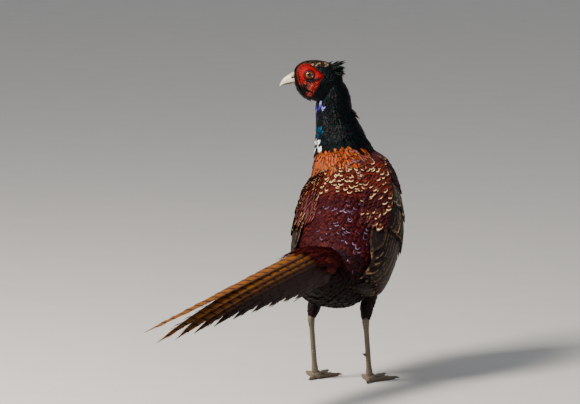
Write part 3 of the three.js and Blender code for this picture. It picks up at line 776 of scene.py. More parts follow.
@dataclass
class Tract:
    """Feathers of one kind laid on one form, ready to be made into one mesh."""

    name: str
    surface: Surface
    vane: Vane
    plot: Plot
    traits: dict[str, Array] = field(default_factory=dict)
    bend: Array | None = None
    bend_way: Array | None = None
    map_corner: Pair = (0, 0)
    map_size: Pair = (1, 1)

    def lay(self, seed: int) -> tuple[Array, Array, dict[str, Array]]:
        """Works out the points of both faces of all the feathers.

        Args:
            seed: Start of the random draw.

        Returns:
            The upper and lower points, and numbers across, along and in millimetres from the root.
        """
        vane, plot = self.vane, self.plot
        rng = np.random.default_rng(seed)
        shape = (len(plot.root), vane.lengths + 1, vane.widths + 1)
        size, hand = scales(self.surface, (plot.root + plot.tip) / 2)
        way = (plot.tip - plot.root) * size
        length = np.linalg.norm(way, axis=1)
        way /= length[:, None]

        def fit(value: Array) -> Array:
            """One number for each feather, shaped to meet the feathers' grid."""
            return value[:, None, None]

        share = 1 - (1 - np.linspace(0, 1, shape[1])) ** vane.crowding
        share = np.broadcast_to(share[None, :, None], shape)
        column = np.broadcast_to(np.linspace(-1, 1, shape[2])[None, None, :], shape)
        column = column * -fit(hand)
        loose = rng.normal(0, vane.ragged, shape) * ease(share, 0.45, 1)
        run = np.clip(share - vane.rounding * column**2 * ease(share, 0.6, 1) + loose, 0, 1)
        outline = np.array(vane.outline)
        wide = np.interp(share, outline[:, 0], outline[:, 1])
        wide = wide * (1 + rng.normal(0, vane.ragged, shape) * (np.abs(column) > 0.9))
        across = column * wide * fit(plot.half_width)
        first = fit(plot.root[:, 0]) + run * fit(plot.tip[:, 0] - plot.root[:, 0])
        second = fit(plot.root[:, 1]) + run * fit(plot.tip[:, 1] - plot.root[:, 1])
        first = first - across * fit(way[:, 1] / size[:, 0])
        second = second + across * fit(way[:, 0] / size[:, 1])
        height = between(fit(-plot.sink), fit(plot.rise), np.sqrt(run)) + fit(plot.lean) * column
        height = height - vane.crown * column**2 * ease(share, 0, 0.3)
        upper = self.surface(first, second, height)
        lower = self.surface(first, second, height - vane.thickness * (1 - column**2))
        if self.bend is not None:
            sag = (fit(self.bend) * run**3)[..., None] * self.bend_way
            upper, lower = upper + sag, lower + sag
        numbers = {"U": 0.5 + 0.5 * column * wide, "V": run}
        numbers |= {"Reach": run * fit(length), "Across": np.abs(across)}
        return upper, lower, numbers

    def build(self, material: Material, slot: Slot, seed: int, nodes: tuple[str, ...] = ()) -> None:
        """Makes the feathers one mesh.

        Args:
            material: Their finish.
            slot: Their material slot.
            seed: Start of the random draw.
            nodes: The solids that they stand for.
        """
        vane = self.vane
        top, bottom, numbers = self.lay(seed)
        upper, lower, size = vane.grid()
        inner = lower[1:-1, 1:-1].ravel()
        count = len(top)

        def gather(above: Array, below: Array) -> Array:
            """Puts the numbers of both faces into the order of the mesh's points.

            Args:
                above: Numbers of the upper face.
                below: Numbers of the lower face.

            Returns:
                The numbers in order.
            """
            made = np.zeros((count, size) + above.shape[3:])
            made[:, upper.ravel()] = above.reshape((count, -1) + above.shape[3:])
            made[:, inner] = below[:, 1:-1, 1:-1].reshape((count, -1) + above.shape[3:])
            return made.reshape((count * size,) + above.shape[3:])

        faces = (vane.faces()[None] + (np.arange(count) * size)[:, None, None]).reshape(-1, 4)
        mesh = bpy.data.meshes.new(self.name)
        mesh.vertices.add(count * size)
        mesh.vertices.foreach_set("co", to_frame(gather(top, bottom)).astype(np.float32).ravel())
        mesh.loops.add(faces.size)
        mesh.loops.foreach_set("vertex_index", faces.ravel().astype(np.int32))
        mesh.polygons.add(len(faces))
        mesh.polygons.foreach_set("loop_start", np.arange(0, faces.size, 4, dtype=np.int32))
        mesh.update(calc_edges=True)

        own = np.stack([gather(numbers[key], numbers[key]) for key in ("U", "V")], axis=1)
        corner, spread = np.array(self.map_corner), np.array(self.map_size)
        spot = self.plot.root * np.array([1, 1 / (2 * math.pi)])
        spot = corner + (spot - spot.min(0)) / np.maximum(np.ptp(spot, axis=0), 1e-9) * spread * 0.99
        patch = np.repeat(spot, size, axis=0) + own * PATCH
        for title, values in (("Vane", own), ("OFBake", patch)):
            layer = mesh.uv_layers.new(name=title)
            layer.uv.foreach_set("vector", values[faces.ravel()].astype(np.float32).ravel())
        for key in ("Reach", "Across"):
            add_trait(mesh, key, gather(numbers[key], numbers[key]))
        for key, values in self.traits.items():
            add_trait(mesh, key, np.repeat(values, size, axis=0))

        rim = vane.rim()
        pairs = np.sort(np.stack([rim, np.roll(rim, -1)], axis=1), axis=1)
        edges = np.zeros(len(mesh.edges) * 2, np.int32)
        mesh.edges.foreach_get("vertices", edges)
        ends = np.sort(edges.reshape(-1, 2) % size, axis=1)
        sharp = mesh.attributes.new("sharp_edge", "BOOLEAN", "EDGE")
        sharp.data.foreach_set("value", np.isin(ends @ [size, 1], pairs @ [size, 1]))
        piece = bpy.data.objects.new(self.name, mesh)
        bpy.context.scene.collection.objects.link(piece)
        finish(piece, slot, material, nodes)


# Colours of single feathers


@dataclass(frozen=True)
class Look:
    """A feather's colours and how strong each of its marks is, from 0 to 1."""

    ground: Hue
    mark: Hue = Hue.CREAM
    edge: Hue = Hue.BLACK
    marked: float = 0
    edged: float = 0
    gloss: float = 0
    streak: float = 0
    vary: float = 0.14


@dataclass(frozen=True)
class Zone:
    """Where a look is found: ranges of the form's two parameters, and the share of feathers with it."""

    first: Pair
    second: Pair
    look: Look
    share: float = 1
    soft: Pair = (0.15, 8)

    def weight(self, spot: Array) -> Array:
        """How likely each place has the look.

        Args:
            spot: Places on the form.

        Returns:
            The chance of each, from 0 to 1.
        """
        weight = np.full(len(spot), float(self.share))
        for column, (low, high) in enumerate((self.first, self.second)):
            value, soft = spot[:, column], self.soft[column]
            inside = ease(value, low - soft, low + soft)
            weight = weight * inside * (1 - ease(value, high - soft, high + soft))
        return weight


def paint(looks: list[Look], chosen: Array, rng: Draw) -> dict[str, Array]:
    """The colours and marks of many feathers.

    Args:
        looks: The looks.
        chosen: Which look each feather has.
        rng: The random draw.

    Returns:
        The traits for a tract.
    """
    tone = 1 + rng.normal(0, 1, len(chosen)) * np.array([look.vary for look in looks])[chosen]
    tone = np.clip(tone, 0.55, 1.6)[:, None] * np.array([1, 1, 1, 0]) + np.array([0, 0, 0, 1])
    marks = [[look.marked, look.edged, look.gloss, look.streak] for look in looks]
    return {
        "Ground": np.array([look.ground.rgba for look in looks])[chosen] * tone,
        "Mark": np.array([look.mark.rgba for look in looks])[chosen],
        "Edge": np.array([look.edge.rgba for look in looks])[chosen],
        "Pattern": np.array(marks, float)[chosen],
    }


def choose(zones: tuple[Zone, ...], spot: Array, rng: Draw) -> Array:
    """Which zone each feather belongs to: the last that claims it, or else the first.

    Args:
        zones: The zones.
        spot: Places of the feathers.
        rng: The random draw.

    Returns:
        The number of each feather's zone.
    """
    chosen = np.zeros(len(spot), int)
    for number, zone in enumerate(zones):
        chosen = np.where(zone.weight(spot) > rng.random(len(spot)), number, chosen)
    return chosen


# Materials


class Nodes:
    """A material whose nodes are added one by one."""

    def __init__(self, name: str) -> None:
        """Starts an empty material.

        Args:
            name: Its name.
        """
        self.material = bpy.data.materials.new(name)
        self.material.use_nodes = True
        self.tree = self.material.node_tree
        self.tree.nodes.clear()

    def add(
        self, kind: str, inputs: dict[str | int, object] | None = None, **settings: object
    ) -> bpy.types.Node:
        """Adds a node with its settings, its numbers and its links.

        Args:
            kind: Blender's name for the node, without its first part.
            inputs: For each input a number, a colour or the output that feeds it.
            **settings: The node's own options.

        Returns:
            The node.
        """
        node = self.tree.nodes.new("ShaderNode" + kind)
        for key, value in settings.items():
            setattr(node, key, value)
        for key, value in (inputs or {}).items():
            if isinstance(value, Socket):
                self.tree.links.new(value, node.inputs[key])
            else:
                node.inputs[key].default_value = value
        return node

    def calc(self, operation: str, *values: Socket | float) -> Socket:
        """The result of a sum with sockets and numbers."""
        return self.add("Math", dict(enumerate(values)), operation=operation).outputs[0]

    def rise(self, value: Socket, low: float, high: float) -> Socket:
        """Rises smoothly from 0 at low to 1 at high."""
        inputs = {"Value": value, "From Min": low, "From Max": high}
        return self.add("MapRange", inputs, interpolation_type="SMOOTHSTEP").outputs["Result"]

    def fall(self, value: Socket, low: float, high: float) -> Socket:
        """Falls smoothly from 1 at low to 0 at high."""
        return self.calc("SUBTRACT", 1.0, self.rise(value, low, high))

    def band(self, value: Socket, limits: Numbers) -> Socket:
        """Rises between the first two of four limits and falls between the last two."""
        return self.calc("SUBTRACT", self.rise(value, *limits[:2]), self.rise(value, *limits[2:]))

    def spread(self, value: Socket, low: float, high: float) -> Socket:
        """Stretches a number from 0 to 1 over a range."""
        return self.add("MapRange", {"Value": value, "To Min": low, "To Max": high}).outputs["Result"]

    def blend(self, factor: Socket, first: Socket | tuple, second: Socket | tuple) -> Socket:
        """Mixes two colours."""
        inputs = {"Factor": factor, 6: first, 7: second}
        return self.add("Mix", inputs, data_type="RGBA").outputs[2]

    def darken(self, colour: Socket, factor: Socket) -> Socket:
        """Multiplies a colour by a number."""
        return self.add("VectorMath", {0: colour, "Scale": factor}, operation="SCALE").outputs[0]

    def trait(self, name: str, output: str = "Fac") -> Socket:
        """Reads a number or, from the output Color, a colour that the mesh carries."""
        return self.add("Attribute", attribute_name=name).outputs[output]

    def across_and_along(self) -> tuple[Socket, Socket]:
        """How far a place is from the shaft (0 to 1) and along the vane (0 to 1).

        Returns:
            Both numbers.
        """
        own = self.add("SeparateXYZ", {0: self.add("UVMap", uv_map="Vane").outputs["UV"]})
        centred = self.calc("MULTIPLY_ADD", own.outputs["X"], 2.0, -1.0)
        return self.calc("ABSOLUTE", centred), own.outputs["Y"]

    def barbs(self, pitch: float, strength: float) -> Socket:
        """Ridges of the barbs, which slant from the shaft to the tip, as a normal.

        Args:
            pitch: From one barb to the next, in millimetres.
            strength: How strong the ridges are.

        Returns:
            The normal.
        """
        place = self.calc("ADD", self.trait("Reach"), self.calc("MULTIPLY", self.trait("Across"), -0.8))
        wave = self.calc("SINE", self.calc("MULTIPLY", place, 2 * math.pi / pitch))
        inputs = {"Height": wave, "Strength": strength, "Distance": 0.1 * MM}
        return self.add("Bump", inputs).outputs["Normal"]

    def noise(self, size: float) -> Socket:
        """A cloudy pattern with spots of about that size in millimetres."""
        inputs = {"Vector": self.add("TexCoord").outputs["Object"], "Scale": 1 / (size * MM), "Detail": 3}
        return self.add("TexNoise", inputs).outputs["Fac"]

    def bump(self, height: Socket, depth: float) -> Socket:
        """A normal from a height of 0 to 1 that stands for a depth in millimetres."""
        inputs = {"Height": height, "Strength": 1.0, "Distance": depth * MM}
        return self.add("Bump", inputs).outputs["Normal"]

    def surface(self, inputs: dict[str, object]) -> Material:
        """Ends the material with its shader.

        Args:
            inputs: The shader's inputs.

        Returns:
            The material.
        """
        shader = self.add("BsdfPrincipled", inputs)
        self.add("OutputMaterial", {"Surface": shader.outputs["BSDF"]})
        return self.material


@dataclass(frozen=True)
class VaneFinish:
    """Feather keratin with the pale rings, dark rim and shaft streak that each feather carries."""

    name: str
    roughness: float = 0.55
    specular: float = 0.12
    stretch: float = 2.0
    ring: Numbers = (0.56, 0.62, 0.7, 0.76)
    inner: Numbers = ()
    inner_strength: float = 0.35
    edge: Pair = (0.76, 0.9)
    shaft: Pair = (0.06, 0.16)
    barbs: Pair = (0.6, 0.35)
    grain: float = 5

    def build(self) -> Material:
        """The material: it gives the eye scale-like edges or nested loops, and a silk along the barbs.

        Returns:
            The material.
        """
        nodes = Nodes(self.name)
        calc = nodes.calc
        across, along = nodes.across_and_along()
        pattern = nodes.add("SeparateColor", {0: nodes.trait("Pattern", "Color")})
        ahead = calc("MAXIMUM", calc("MULTIPLY_ADD", along, self.stretch, 1 - self.stretch), 0.0)
        rim = calc("SQRT", calc("ADD", calc("POWER", across, 2.0), calc("POWER", ahead, 2.0)))
        marks = nodes.band(rim, self.ring)
        if self.inner:
            second = calc("MULTIPLY", nodes.band(rim, self.inner), self.inner_strength)
            broken = nodes.rise(nodes.noise(self.grain), 0.4, 0.56)
            marks = calc("MULTIPLY", calc("ADD", marks, second), broken)
        shaft = calc("MULTIPLY", nodes.fall(across, *self.shaft), nodes.trait("Pattern", "Alpha"))
        mark = nodes.trait("Mark", "Color")
        marked = calc("MULTIPLY", marks, pattern.outputs[0])
        colour = nodes.blend(marked, nodes.trait("Ground", "Color"), mark)
        edged = calc("MULTIPLY", nodes.rise(rim, *self.edge), pattern.outputs[1])
        colour = nodes.blend(edged, colour, nodes.trait("Edge", "Color"))
        return nodes.surface({
            "Base Color": nodes.blend(shaft, colour, mark),
            "Metallic": pattern.outputs[2],
            "Roughness": self.roughness,
            "Specular IOR Level": self.specular,
            "Normal": nodes.barbs(*self.barbs),
        })


@dataclass(frozen=True)
class TailFinish:
    """Long tail feathers: brown with narrow dark bars, a dark shaft, greyish purple side webs, and painted
    shade on the feathers round the vault's flanks.
    """

    name: str = "Barred tail keratin, grown in day bars"
    bar: float = 21
    half_bar: float = 0.085

    def build(self) -> Material:
        """The material: it gives the eye the ladder of bars along each feather.

        Returns:
            The material.
        """
        nodes = Nodes(self.name)
        calc = nodes.calc
        across, along = nodes.across_and_along()
        place = calc("ADD", calc("DIVIDE", nodes.trait("Reach"), self.bar), nodes.trait("Chance"))
        bend = calc("MULTIPLY", nodes.noise(9), 0.2)
        place = calc("ADD", place, calc("ADD", calc("MULTIPLY", across, 0.2), bend))
        away = calc("ABSOLUTE", calc("SUBTRACT", calc("FRACT", place), 0.5))
        bar = nodes.fall(away, self.half_bar * 0.7, self.half_bar * 1.6)
        bar = calc("MULTIPLY", bar, nodes.fall(across, 0.5, 0.8))
        shaft = calc("MULTIPLY", nodes.fall(across, 0.04, 0.1), 0.4)
        # The side webs darken towards each vane's edge; the outer feathers of the vault are darkened as
        # painted shade on the tail's side.
        web_and_side_shade = calc("MAXIMUM", nodes.rise(across, 0.45, 0.95), nodes.trait("Side"))
        colour = nodes.blend(web_and_side_shade, nodes.trait("Ground", "Color"), Hue.TAIL_SIDE.rgba)
        freckle = calc("MULTIPLY", nodes.rise(nodes.noise(1.6), 0.5, 0.68), 0.45)
        colour = nodes.blend(freckle, colour, Hue.TAIL_BAR.rgba)
        colour = nodes.blend(calc("MAXIMUM", bar, shaft), colour, Hue.TAIL_BAR.rgba)
        worn = calc("MULTIPLY", nodes.rise(along, 0.95, 1.0), 0.6)
        return nodes.surface({
            "Base Color": nodes.blend(worn, colour, Hue.BUFF.rgba),
            "Roughness": 0.5,
            "Specular IOR Level": 0.2,
            "Normal": nodes.barbs(0.9, 0.5),
        })


@dataclass(frozen=True)
class SkinFinish:
    """Skin under the plumage, which carries the coat's own markings, darkened as painted shade between the
    feathers.
    """

    name: str = "Skin tinted by the down on it, darkened as painted shade"

    def build(self) -> Material:
        """The material: it darkens the nearest feathers' colour as painted shade in the gaps between them.

        Returns:
            The material.
        """
        nodes = Nodes(self.name)
        # Painted shade: the feathers' colour is darkened to between 45 and 75 per cent in the gaps between
        # them.
        shade = nodes.spread(nodes.noise(3), 0.45, 0.75)
        return nodes.surface({
            "Base Color": nodes.darken(nodes.trait("Marking", "Color"), shade),
            "Roughness": 0.8,
            "Normal": nodes.bump(nodes.noise(1.2), 0.4),
        })


@dataclass(frozen=True)
class PaintedFinish:
    """A living surface whose colour each point carries, with fine mottling, pores and moisture."""

    name: str
    grain: float
    depth: float
    roughness: float
    coat: float = 0
    specular: float = 0.4

    def build(self) -> Material:
        """The material: it breaks up the carried colour and its gloss at the grain's own size.

        Returns:
            The material.
        """
        nodes = Nodes(self.name)
        grain = nodes.noise(self.grain)
        return nodes.surface({
            "Base Color": nodes.darken(nodes.trait("Marking", "Color"), nodes.spread(grain, 0.7, 1.25)),
            "Roughness": nodes.spread(grain, self.roughness * 0.8, self.roughness * 1.25),
            "Coat Weight": self.coat,
            "Coat Roughness": 0.12,
            "Specular IOR Level": self.specular,
            "Normal": nodes.bump(grain, self.depth),
        })


@dataclass(frozen=True)
class EyeFinish:
    """The wet eye: amber iris with fine spokes, round pupil, clear gloss of the cornea."""

    name: str = "Eye, amber iris under a wet cornea"
    pupil: float = 2.8
    iris: float = 3.95

    def build(self) -> Material:
        """The material: it gives the eye its ring of amber and one bright glint.

        Returns:
            The material.
        """
        nodes = Nodes(self.name)
        away = nodes.trait("Away")
        spokes = nodes.calc("MULTIPLY", nodes.noise(0.5), 0.8)
        colour = nodes.blend(nodes.rise(away, self.pupil, self.pupil + 0.2), Hue.PUPIL.rgba, Hue.IRIS.rgba)
        rim = nodes.calc("MULTIPLY", nodes.rise(away, self.iris - 1.4, self.iris), spokes)
        colour = nodes.blend(rim, colour, Hue.IRIS_RIM.rgba)
        colour = nodes.blend(nodes.rise(away, self.iris, self.iris + 0.3), colour, Hue.FACE_DARK.rgba)
        return nodes.surface({
            "Base Color": colour,
            "Roughness": 0.5,
            "Specular IOR Level": 0.05,
            "Coat Weight": 1.0,
            "Coat Roughness": 0.02,
            "Coat IOR": 1.38,
        })


@dataclass(frozen=True)
class FloorFinish:
    """The pale floor, of rolled plaster."""

    name: str = "Rolled plaster floor"

    def build(self) -> Material:
        """The material: a matt pale ground with a barely seen grain.

        Returns:
            The material.
        """
        nodes = Nodes(self.name)
        colour = nodes.blend(nodes.noise(60), linear(0xD6D4D0), linear(0xDEDCD8))
        return nodes.surface({"Base Color": colour, "Roughness": 0.85})


class Finishes:
    """All materials of the bird, made once."""

    def __init__(self) -> None:
        """Makes them."""
        self.contour = VaneFinish("Contour feather keratin, silky barbs").build()
        self.glossy = VaneFinish("Iridescent neck keratin, layered barbules", 0.4, 0.14).build()
        self.flight = VaneFinish(
            "Wing keratin with looped buff marks", 0.5, 0.2, stretch=2.5, ring=(0.66, 0.71, 0.78, 0.83),
            inner=(0.24, 0.3, 0.34, 0.4), edge=(0.84, 0.94), barbs=(0.8, 0.45),
        ).build()
        self.tail = TailFinish().build()
        self.skin = SkinFinish().build()
        self.face = PaintedFinish("Bare facial skin, swollen with blood", 0.9, 0.14, 0.5, 0, 0.1).build()
        self.lid = PaintedFinish("Eyelid skin, moist at its rim", 0.6, 0.08, 0.35, 0.3).build()
        self.bill = PaintedFinish("Bill horn, worn smooth in growth", 2.2, 0.06, 0.38, 0.2).build()
        self.eye = EyeFinish().build()
        self.leg = PaintedFinish("Scaled leg skin, dry and horny", 1.3, 0.15, 0.6).build()
        self.claw = PaintedFinish("Claw horn, abraded by soil", 1.6, 0.05, 0.4).build()


# The skin under the plumage


def eyeball(side: int, along: Array, angle: Array, radius: float | Array) -> Array:
    """A point of a ball round an eye's centre, whose far pole looks outwards.

    Args:
        side: 1 for the left eye, -1 for the right.
        along: Share of its length.
        angle: Angle round the form.
        radius: The ball's radius.

    Returns:
        The point.
    """
    turn = along * math.pi
    ahead, up, out = np.sin(turn) * np.cos(angle), np.sin(turn) * np.sin(angle), -np.cos(turn)
    return HEAD.place(radius * ahead, side * (HEAD.eye_spread + radius * out), radius * up)


@dataclass
class Skin:
    """One skin over trunk, head, thighs, wings and the base of the tail, inside the coat."""

    body_depth: float = 5
    neck_depth: float = 2.6
    head_depth: float = 1.4
    wing_depth: float = 6.5
    thigh_depth: float = 2.5
    tail_depth: float = 3
    voxel: float = 2.2
    piece: Piece | None = None
    tree: BVHTree | None = None

    def build(self, thighs: list["Thigh"], wings: list["Wing"], tail: "Tail") -> None:
        """Melts the forms together.

        Args:
            thighs: Both thighs.
            wings: Both wings.
            tail: The tail.
        """

        def trunk(along: Array, angle: Array) -> Array:
            """A point of the trunk, as deep under the coat as the skin lies.

            Args:
                along: Share of its length.
                angle: Angle round the form.

            Returns:
                The point.
            """
            station = along * (len(TRUNK.stations) - 1)
            depth = between(self.body_depth, self.neck_depth, ease(station, 6, 7.5))
            return TRUNK.at(station, angle, -depth)

        forms = [
            loft("trunk_form", 64, 96, trunk),
            loft("head_form", 48, 40, lambda along, angle: HEAD.at(along, angle, -self.head_depth)),
            loft("tail_form", 32, 24, lambda along, angle: tail.base(along, angle, -self.tail_depth)),
        ]
        forms += [thigh.form().loft("thigh_form", 32, 24, -self.thigh_depth) for thigh in thighs]
        for wing in wings:
            forms.append(loft("wing_form", 48, 48, lambda a, t, w=wing: w.core(a, t, self.wing_depth)))
        self.piece = join("skin", forms)
        remesh(self.piece, self.voxel, 5)
        for side in (1, -1):
            socket = loft("socket", 32, 16, lambda a, t, s=side: eyeball(s, a, t, HEAD.eye_radius + 0.4))
            combine(self.piece, socket, "DIFFERENCE")
        mesh = self.piece.data
        faces = [polygon.vertices[:] for polygon in mesh.polygons]
        self.tree = BVHTree.FromPolygons([vertex.co for vertex in mesh.vertices], faces)

    def outside(self, surface: Surface, spot: Array, margin: float) -> Array:
        """Which places of a form lie outside the skin.

        Args:
            surface: The form.
            spot: Places on it.
            margin: How far outside they must be, in millimetres.

        Returns:
            True for each that does.
        """
        free = []
        for point in to_frame(lying_on(surface, spot)):
            place, normal, _, _ = self.tree.find_nearest(Vector(point))
            free.append((Vector(point) - place).dot(normal) > margin * MM)
        return np.array(free)

    def dress(self, tracts: list[Tract], finishes: Finishes) -> None:
        """Gives the skin the markings of the feathers nearest to each place, and finishes it.

        Args:
            tracts: The feathers.
            finishes: The materials.
        """
        points = to_frame(np.vstack([lying_on(tract.surface, tract.plot.root) for tract in tracts]))
        colours = np.vstack([tract.traits["Ground"] for tract in tracts])
        tree = KDTree(len(points))
        for number, point in enumerate(points):
            tree.insert(point, number)
        tree.balance()
        nearest = [tree.find(vertex.co)[1] for vertex in self.piece.data.vertices]
        add_trait(self.piece.data, "Marking", colours[nearest])
        replaced = ("torso", "neck", "head", "thigh_left", "thigh_right")
        finish(self.piece, Slot.BODY, finishes.skin, replaced)


# Contour feathers in rows


@dataclass(frozen=True)
class Rows:
    """Rows of contour feathers that run round a form and point down its first parameter."""

    first: Pair
    pitch: float
    spacing: float
    length: float
    half_width: float
    sink: float
    rise: float = 0.5
    jitter: float = 0.22
    steps: int = 121

    def spots(self, surface: Surface, rng: Draw) -> Array:
        """Roots in brick order, with small irregularities.

        Args:
            surface: The form.
            rng: The random draw.

        Returns:
            The roots, one row of two parameters each.
        """
        turns = np.linspace(-math.pi / 2, 1.5 * math.pi, self.steps)
        place, row, spots = self.first[0], 0, []
        while place > self.first[1]:
            ring = lying_on(surface, np.stack([np.full(self.steps, place), turns], axis=1))
            travel = np.concatenate([[0], np.cumsum(np.linalg.norm(np.diff(ring, axis=0), axis=1))])
            count = max(3, round(travel[-1] / self.spacing))
            where = (np.arange(count) + 0.5 * (row % 2) + rng.normal(0, self.jitter * 0.6, count)) / count
            angle = np.interp(np.mod(where, 1) * travel[-1], travel, turns)
            size, _ = scales(surface, np.stack([np.full(count, place), angle], axis=1))
            step = self.pitch / np.median(size[:, 0])
            spots.append(np.stack([place + rng.normal(0, self.jitter, count) * step, angle], axis=1))
            place, row = place - step, row + 1
        return np.vstack(spots)

    def plot(self, surface: Surface, spots: Array, rng: Draw) -> Plot:
        """Lays a feather from each root, slightly turned and of slightly different size.

        Args:
            surface: The form.
            spots: The roots.
            rng: The random draw.

        Returns:
            The plot.
        """
        count = len(spots)
        size, _ = scales(surface, spots)
        length = self.length * (1 + rng.normal(0, 0.08, count))
        turn = rng.normal(0, 0.09, count)
        move = np.stack([-np.cos(turn), np.sin(turn)], axis=1) * length[:, None] / size
        move[:, 1] = np.clip(move[:, 1], -0.5, 0.5)
        half_width = self.half_width * (1 + rng.normal(0, 0.06, count))
        return plot(spots, spots + move, half_width, self.sink, self.rise + rng.normal(0, 0.2, count))


def degrees_round(angle: Array) -> Array:
    """Angles round the trunk in degrees from -90 (belly) by 0 (left), 90 (back), 180 (right) to 270."""
    return np.mod(np.degrees(angle) + 90, 360) - 90


BLACK_NECK = Look(Hue.NECK, gloss=0.3, vary=0.3)
GREEN_NECK = Look(Hue.GREEN, gloss=0.7, vary=0.3)
MANTLE = Look(Hue.GOLD, Hue.CREAM, Hue.BLACK, edged=1, streak=0.15)
FLECKED = Look(Hue.GOLD, Hue.BLACK, Hue.BLACK, edged=1, streak=1)
REDDISH = Look(Hue.RUFOUS, Hue.ORANGE, Hue.BLACK, marked=0.25, edged=0.8)
LOOPED = Look(Hue.RUFOUS, Hue.CREAM, Hue.BLACK, marked=1, edged=0.9)
SCALLOPED = Look(Hue.BREAST, Hue.PURPLE, Hue.BLACK, marked=0.6, edged=0.95, gloss=0.25)
TIPPED = Look(Hue.FLANK, Hue.ORANGE, Hue.BLACK, marked=0.5, edged=1)
SUNLIT = Look(Hue.ORANGE, Hue.CREAM, Hue.BLACK, edged=0.9, streak=0.25)
PURPLISH = Look(Hue.PURPLE, Hue.GLINT, Hue.WINE, marked=0.7, edged=0.5, gloss=0.3)

TRUNK_ZONES = (
    Zone((-1, 12), (-90, 270), Look(Hue.BELLY, edge=Hue.BLACK, edged=0.4)),
    Zone((3.2, 7), (-110, -10), SCALLOPED),
    Zone((3.2, 7), (190, 290), SCALLOPED),
    Zone((3, 4.6), (-60, -8), TIPPED),
    Zone((3, 4.6), (188, 240), TIPPED),
    Zone((5.3, 7.1), (-35, 25), REDDISH),
    Zone((4.2, 7), (5, 175), REDDISH),
    Zone((4.5, 5.75), (5, 175), LOOPED, 0.5),
    Zone((3.9, 4.5), (0, 48), LOOPED, 0.5),
    Zone((3.8, 4.6), (105, 150), Look(Hue.WINE, Hue.BUFF, Hue.BLACK, marked=0.9, edged=0.6), 0.45),
    Zone((5.6, 7.05), (24, 118), MANTLE),
    Zone((6.1, 7.05), (110, 175), SUNLIT, 0.9),
    Zone((6.4, 7.05), (110, 160), MANTLE, 0.5),
    Zone((5.6, 7.05), (24, 150), FLECKED, 0.4),
    Zone((5.5, 6.7), (20, 118), SUNLIT, 0.4),
    Zone((5.1, 6.4), (108, 168), Look(Hue.PINK, Hue.GLINT, Hue.BLACK, marked=0.3, edged=0.7), 0.6),
    Zone((0, 4.45), (20, 160), Look(Hue.MAROON, Hue.GLINT, Hue.WINE, edged=0.5, gloss=0.2)),
    Zone((0, 4.4), (60, 160), replace(PURPLISH, marked=0.3), 0.2),
    Zone((2, 4.3), (85, 140), PURPLISH, 0.14),
    Zone((0, 4.7), (20, 160), Look(Hue.MAROON, Hue.ORANGE, Hue.RUFOUS, marked=0.3, edged=0.6), 0.22),
    # Painted shade: the rump between the right wing and the tail is darkened to near-black wine, standing
    # in for the shade there.
    Zone((0, 3), (98, 175), Look(Hue.WINE, Hue.GLINT, Hue.BLACK, edged=0.6, gloss=0.15), 0.75),
    Zone((0, 2.3), (30, 110), Look(Hue.RUFOUS, Hue.ORANGE, Hue.WINE, edged=0.3, streak=0.4), 0.5),
    Zone((6.95, 12), (-90, 270), BLACK_NECK),
    # Painted shade: the neck's black is carried down the right slope of the shoulder, standing in for the
    # neck's shadow there.
    Zone((6.35, 7.2), (125, 215), BLACK_NECK, 0.9),
    Zone((6.8, 11), (-60, 200), GREEN_NECK, 0.25),
    # The neck's own iridescent gloss, with painted glints: teal, violet and lilac patches placed where the
    # light catches the neck.
    Zone((7.3, 7.9), (-20, 62), Look(Hue.TEAL, gloss=0.8, vary=0.3), 0.5),
    Zone((8.1, 9.4), (-30, 60), Look(Hue.VIOLET, gloss=0.75, vary=0.3), 0.14),
    Zone((8.2, 9.3), (15, 70), Look(Hue.LILAC, gloss=0.5, vary=0.3), 0.1),
    Zone((7.18, 7.34), (-24, 46), Look(Hue.WHITE, vary=0.04), 0.8, (0.03, 4)),
)


@dataclass
class TrunkCoat:
    """Contour feathers of neck, breast, back, belly and rump."""

    vane: Vane = Vane()
    neck_vane: Vane = Vane(thickness=0.25, crown=0.2)
    neck: Rows = Rows((10.2, 7.05), 2.6, 2.8, 10, 2.4, 2.6, -0.2)
    mantle: Rows = Rows((7.25, 4.6), 4.6, 5.1, 19, 5.2, 5, -0.7)
    back: Rows = Rows((4.75, 0.35), 5, 5.6, 24, 5.6, 5.6, -0.3)
    ruffled: Triple = (8.1, 190, 3.6)

    def build(self, skin: Skin, finishes: Finishes) -> list[Tract]:
        """Lays and makes the three tracts.

        Args:
            skin: The skin, which hides some of the roots.
            finishes: The materials.

        Returns:
            The tracts.
        """
        parts = (
            ("neck_feathers", self.neck, self.neck_vane, Slot.NECK, finishes.glossy, (0.0, 0.0)),
            ("mantle_feathers", self.mantle, self.vane, Slot.BODY, finishes.contour, (0.0, 0.25)),
            ("back_feathers", self.back, self.vane, Slot.BODY, finishes.contour, (0.0, 0.5)),
        )
        tracts = []
        for number, (name, rows, vane, slot, material, corner) in enumerate(parts):
            rng = np.random.default_rng(10 + number)
            spots = rows.spots(coat, rng)
            spots = spots[skin.outside(coat, spots, 0.5)]
            chosen = choose(TRUNK_ZONES, np.stack([spots[:, 0], degrees_round(spots[:, 1])], axis=1), rng)
            traits = paint([zone.look for zone in TRUNK_ZONES], chosen, rng)
            placed = rows.plot(coat, spots, rng)
            station, turn, rise = self.ruffled
            away = np.hypot((spots[:, 0] - station) * 30, degrees_round(spots[:, 1]) - turn)
            placed.rise[away < 6] = rise
            placed.half_width[away < 6] *= 1.5
            tract = Tract(name, coat, vane, placed, traits, map_corner=corner, map_size=(0.6, 0.24))
            tract.build(material, slot, 30 + number)
            tracts.append(tract)
        return tracts


# Head feathers


def head_frame(points: Array) -> tuple[Array, Array, Array]:
    """How far forward, left and up of the head's origin points are."""
    away = points - at(*HEAD.origin)
    return away @ HEAD.forward, away @ HEAD.left, away @ UP


LOCK_OUTLINE = ((0, 0.7), (0.3, 1), (0.7, 0.7), (0.9, 0.35), (1, 0.05))


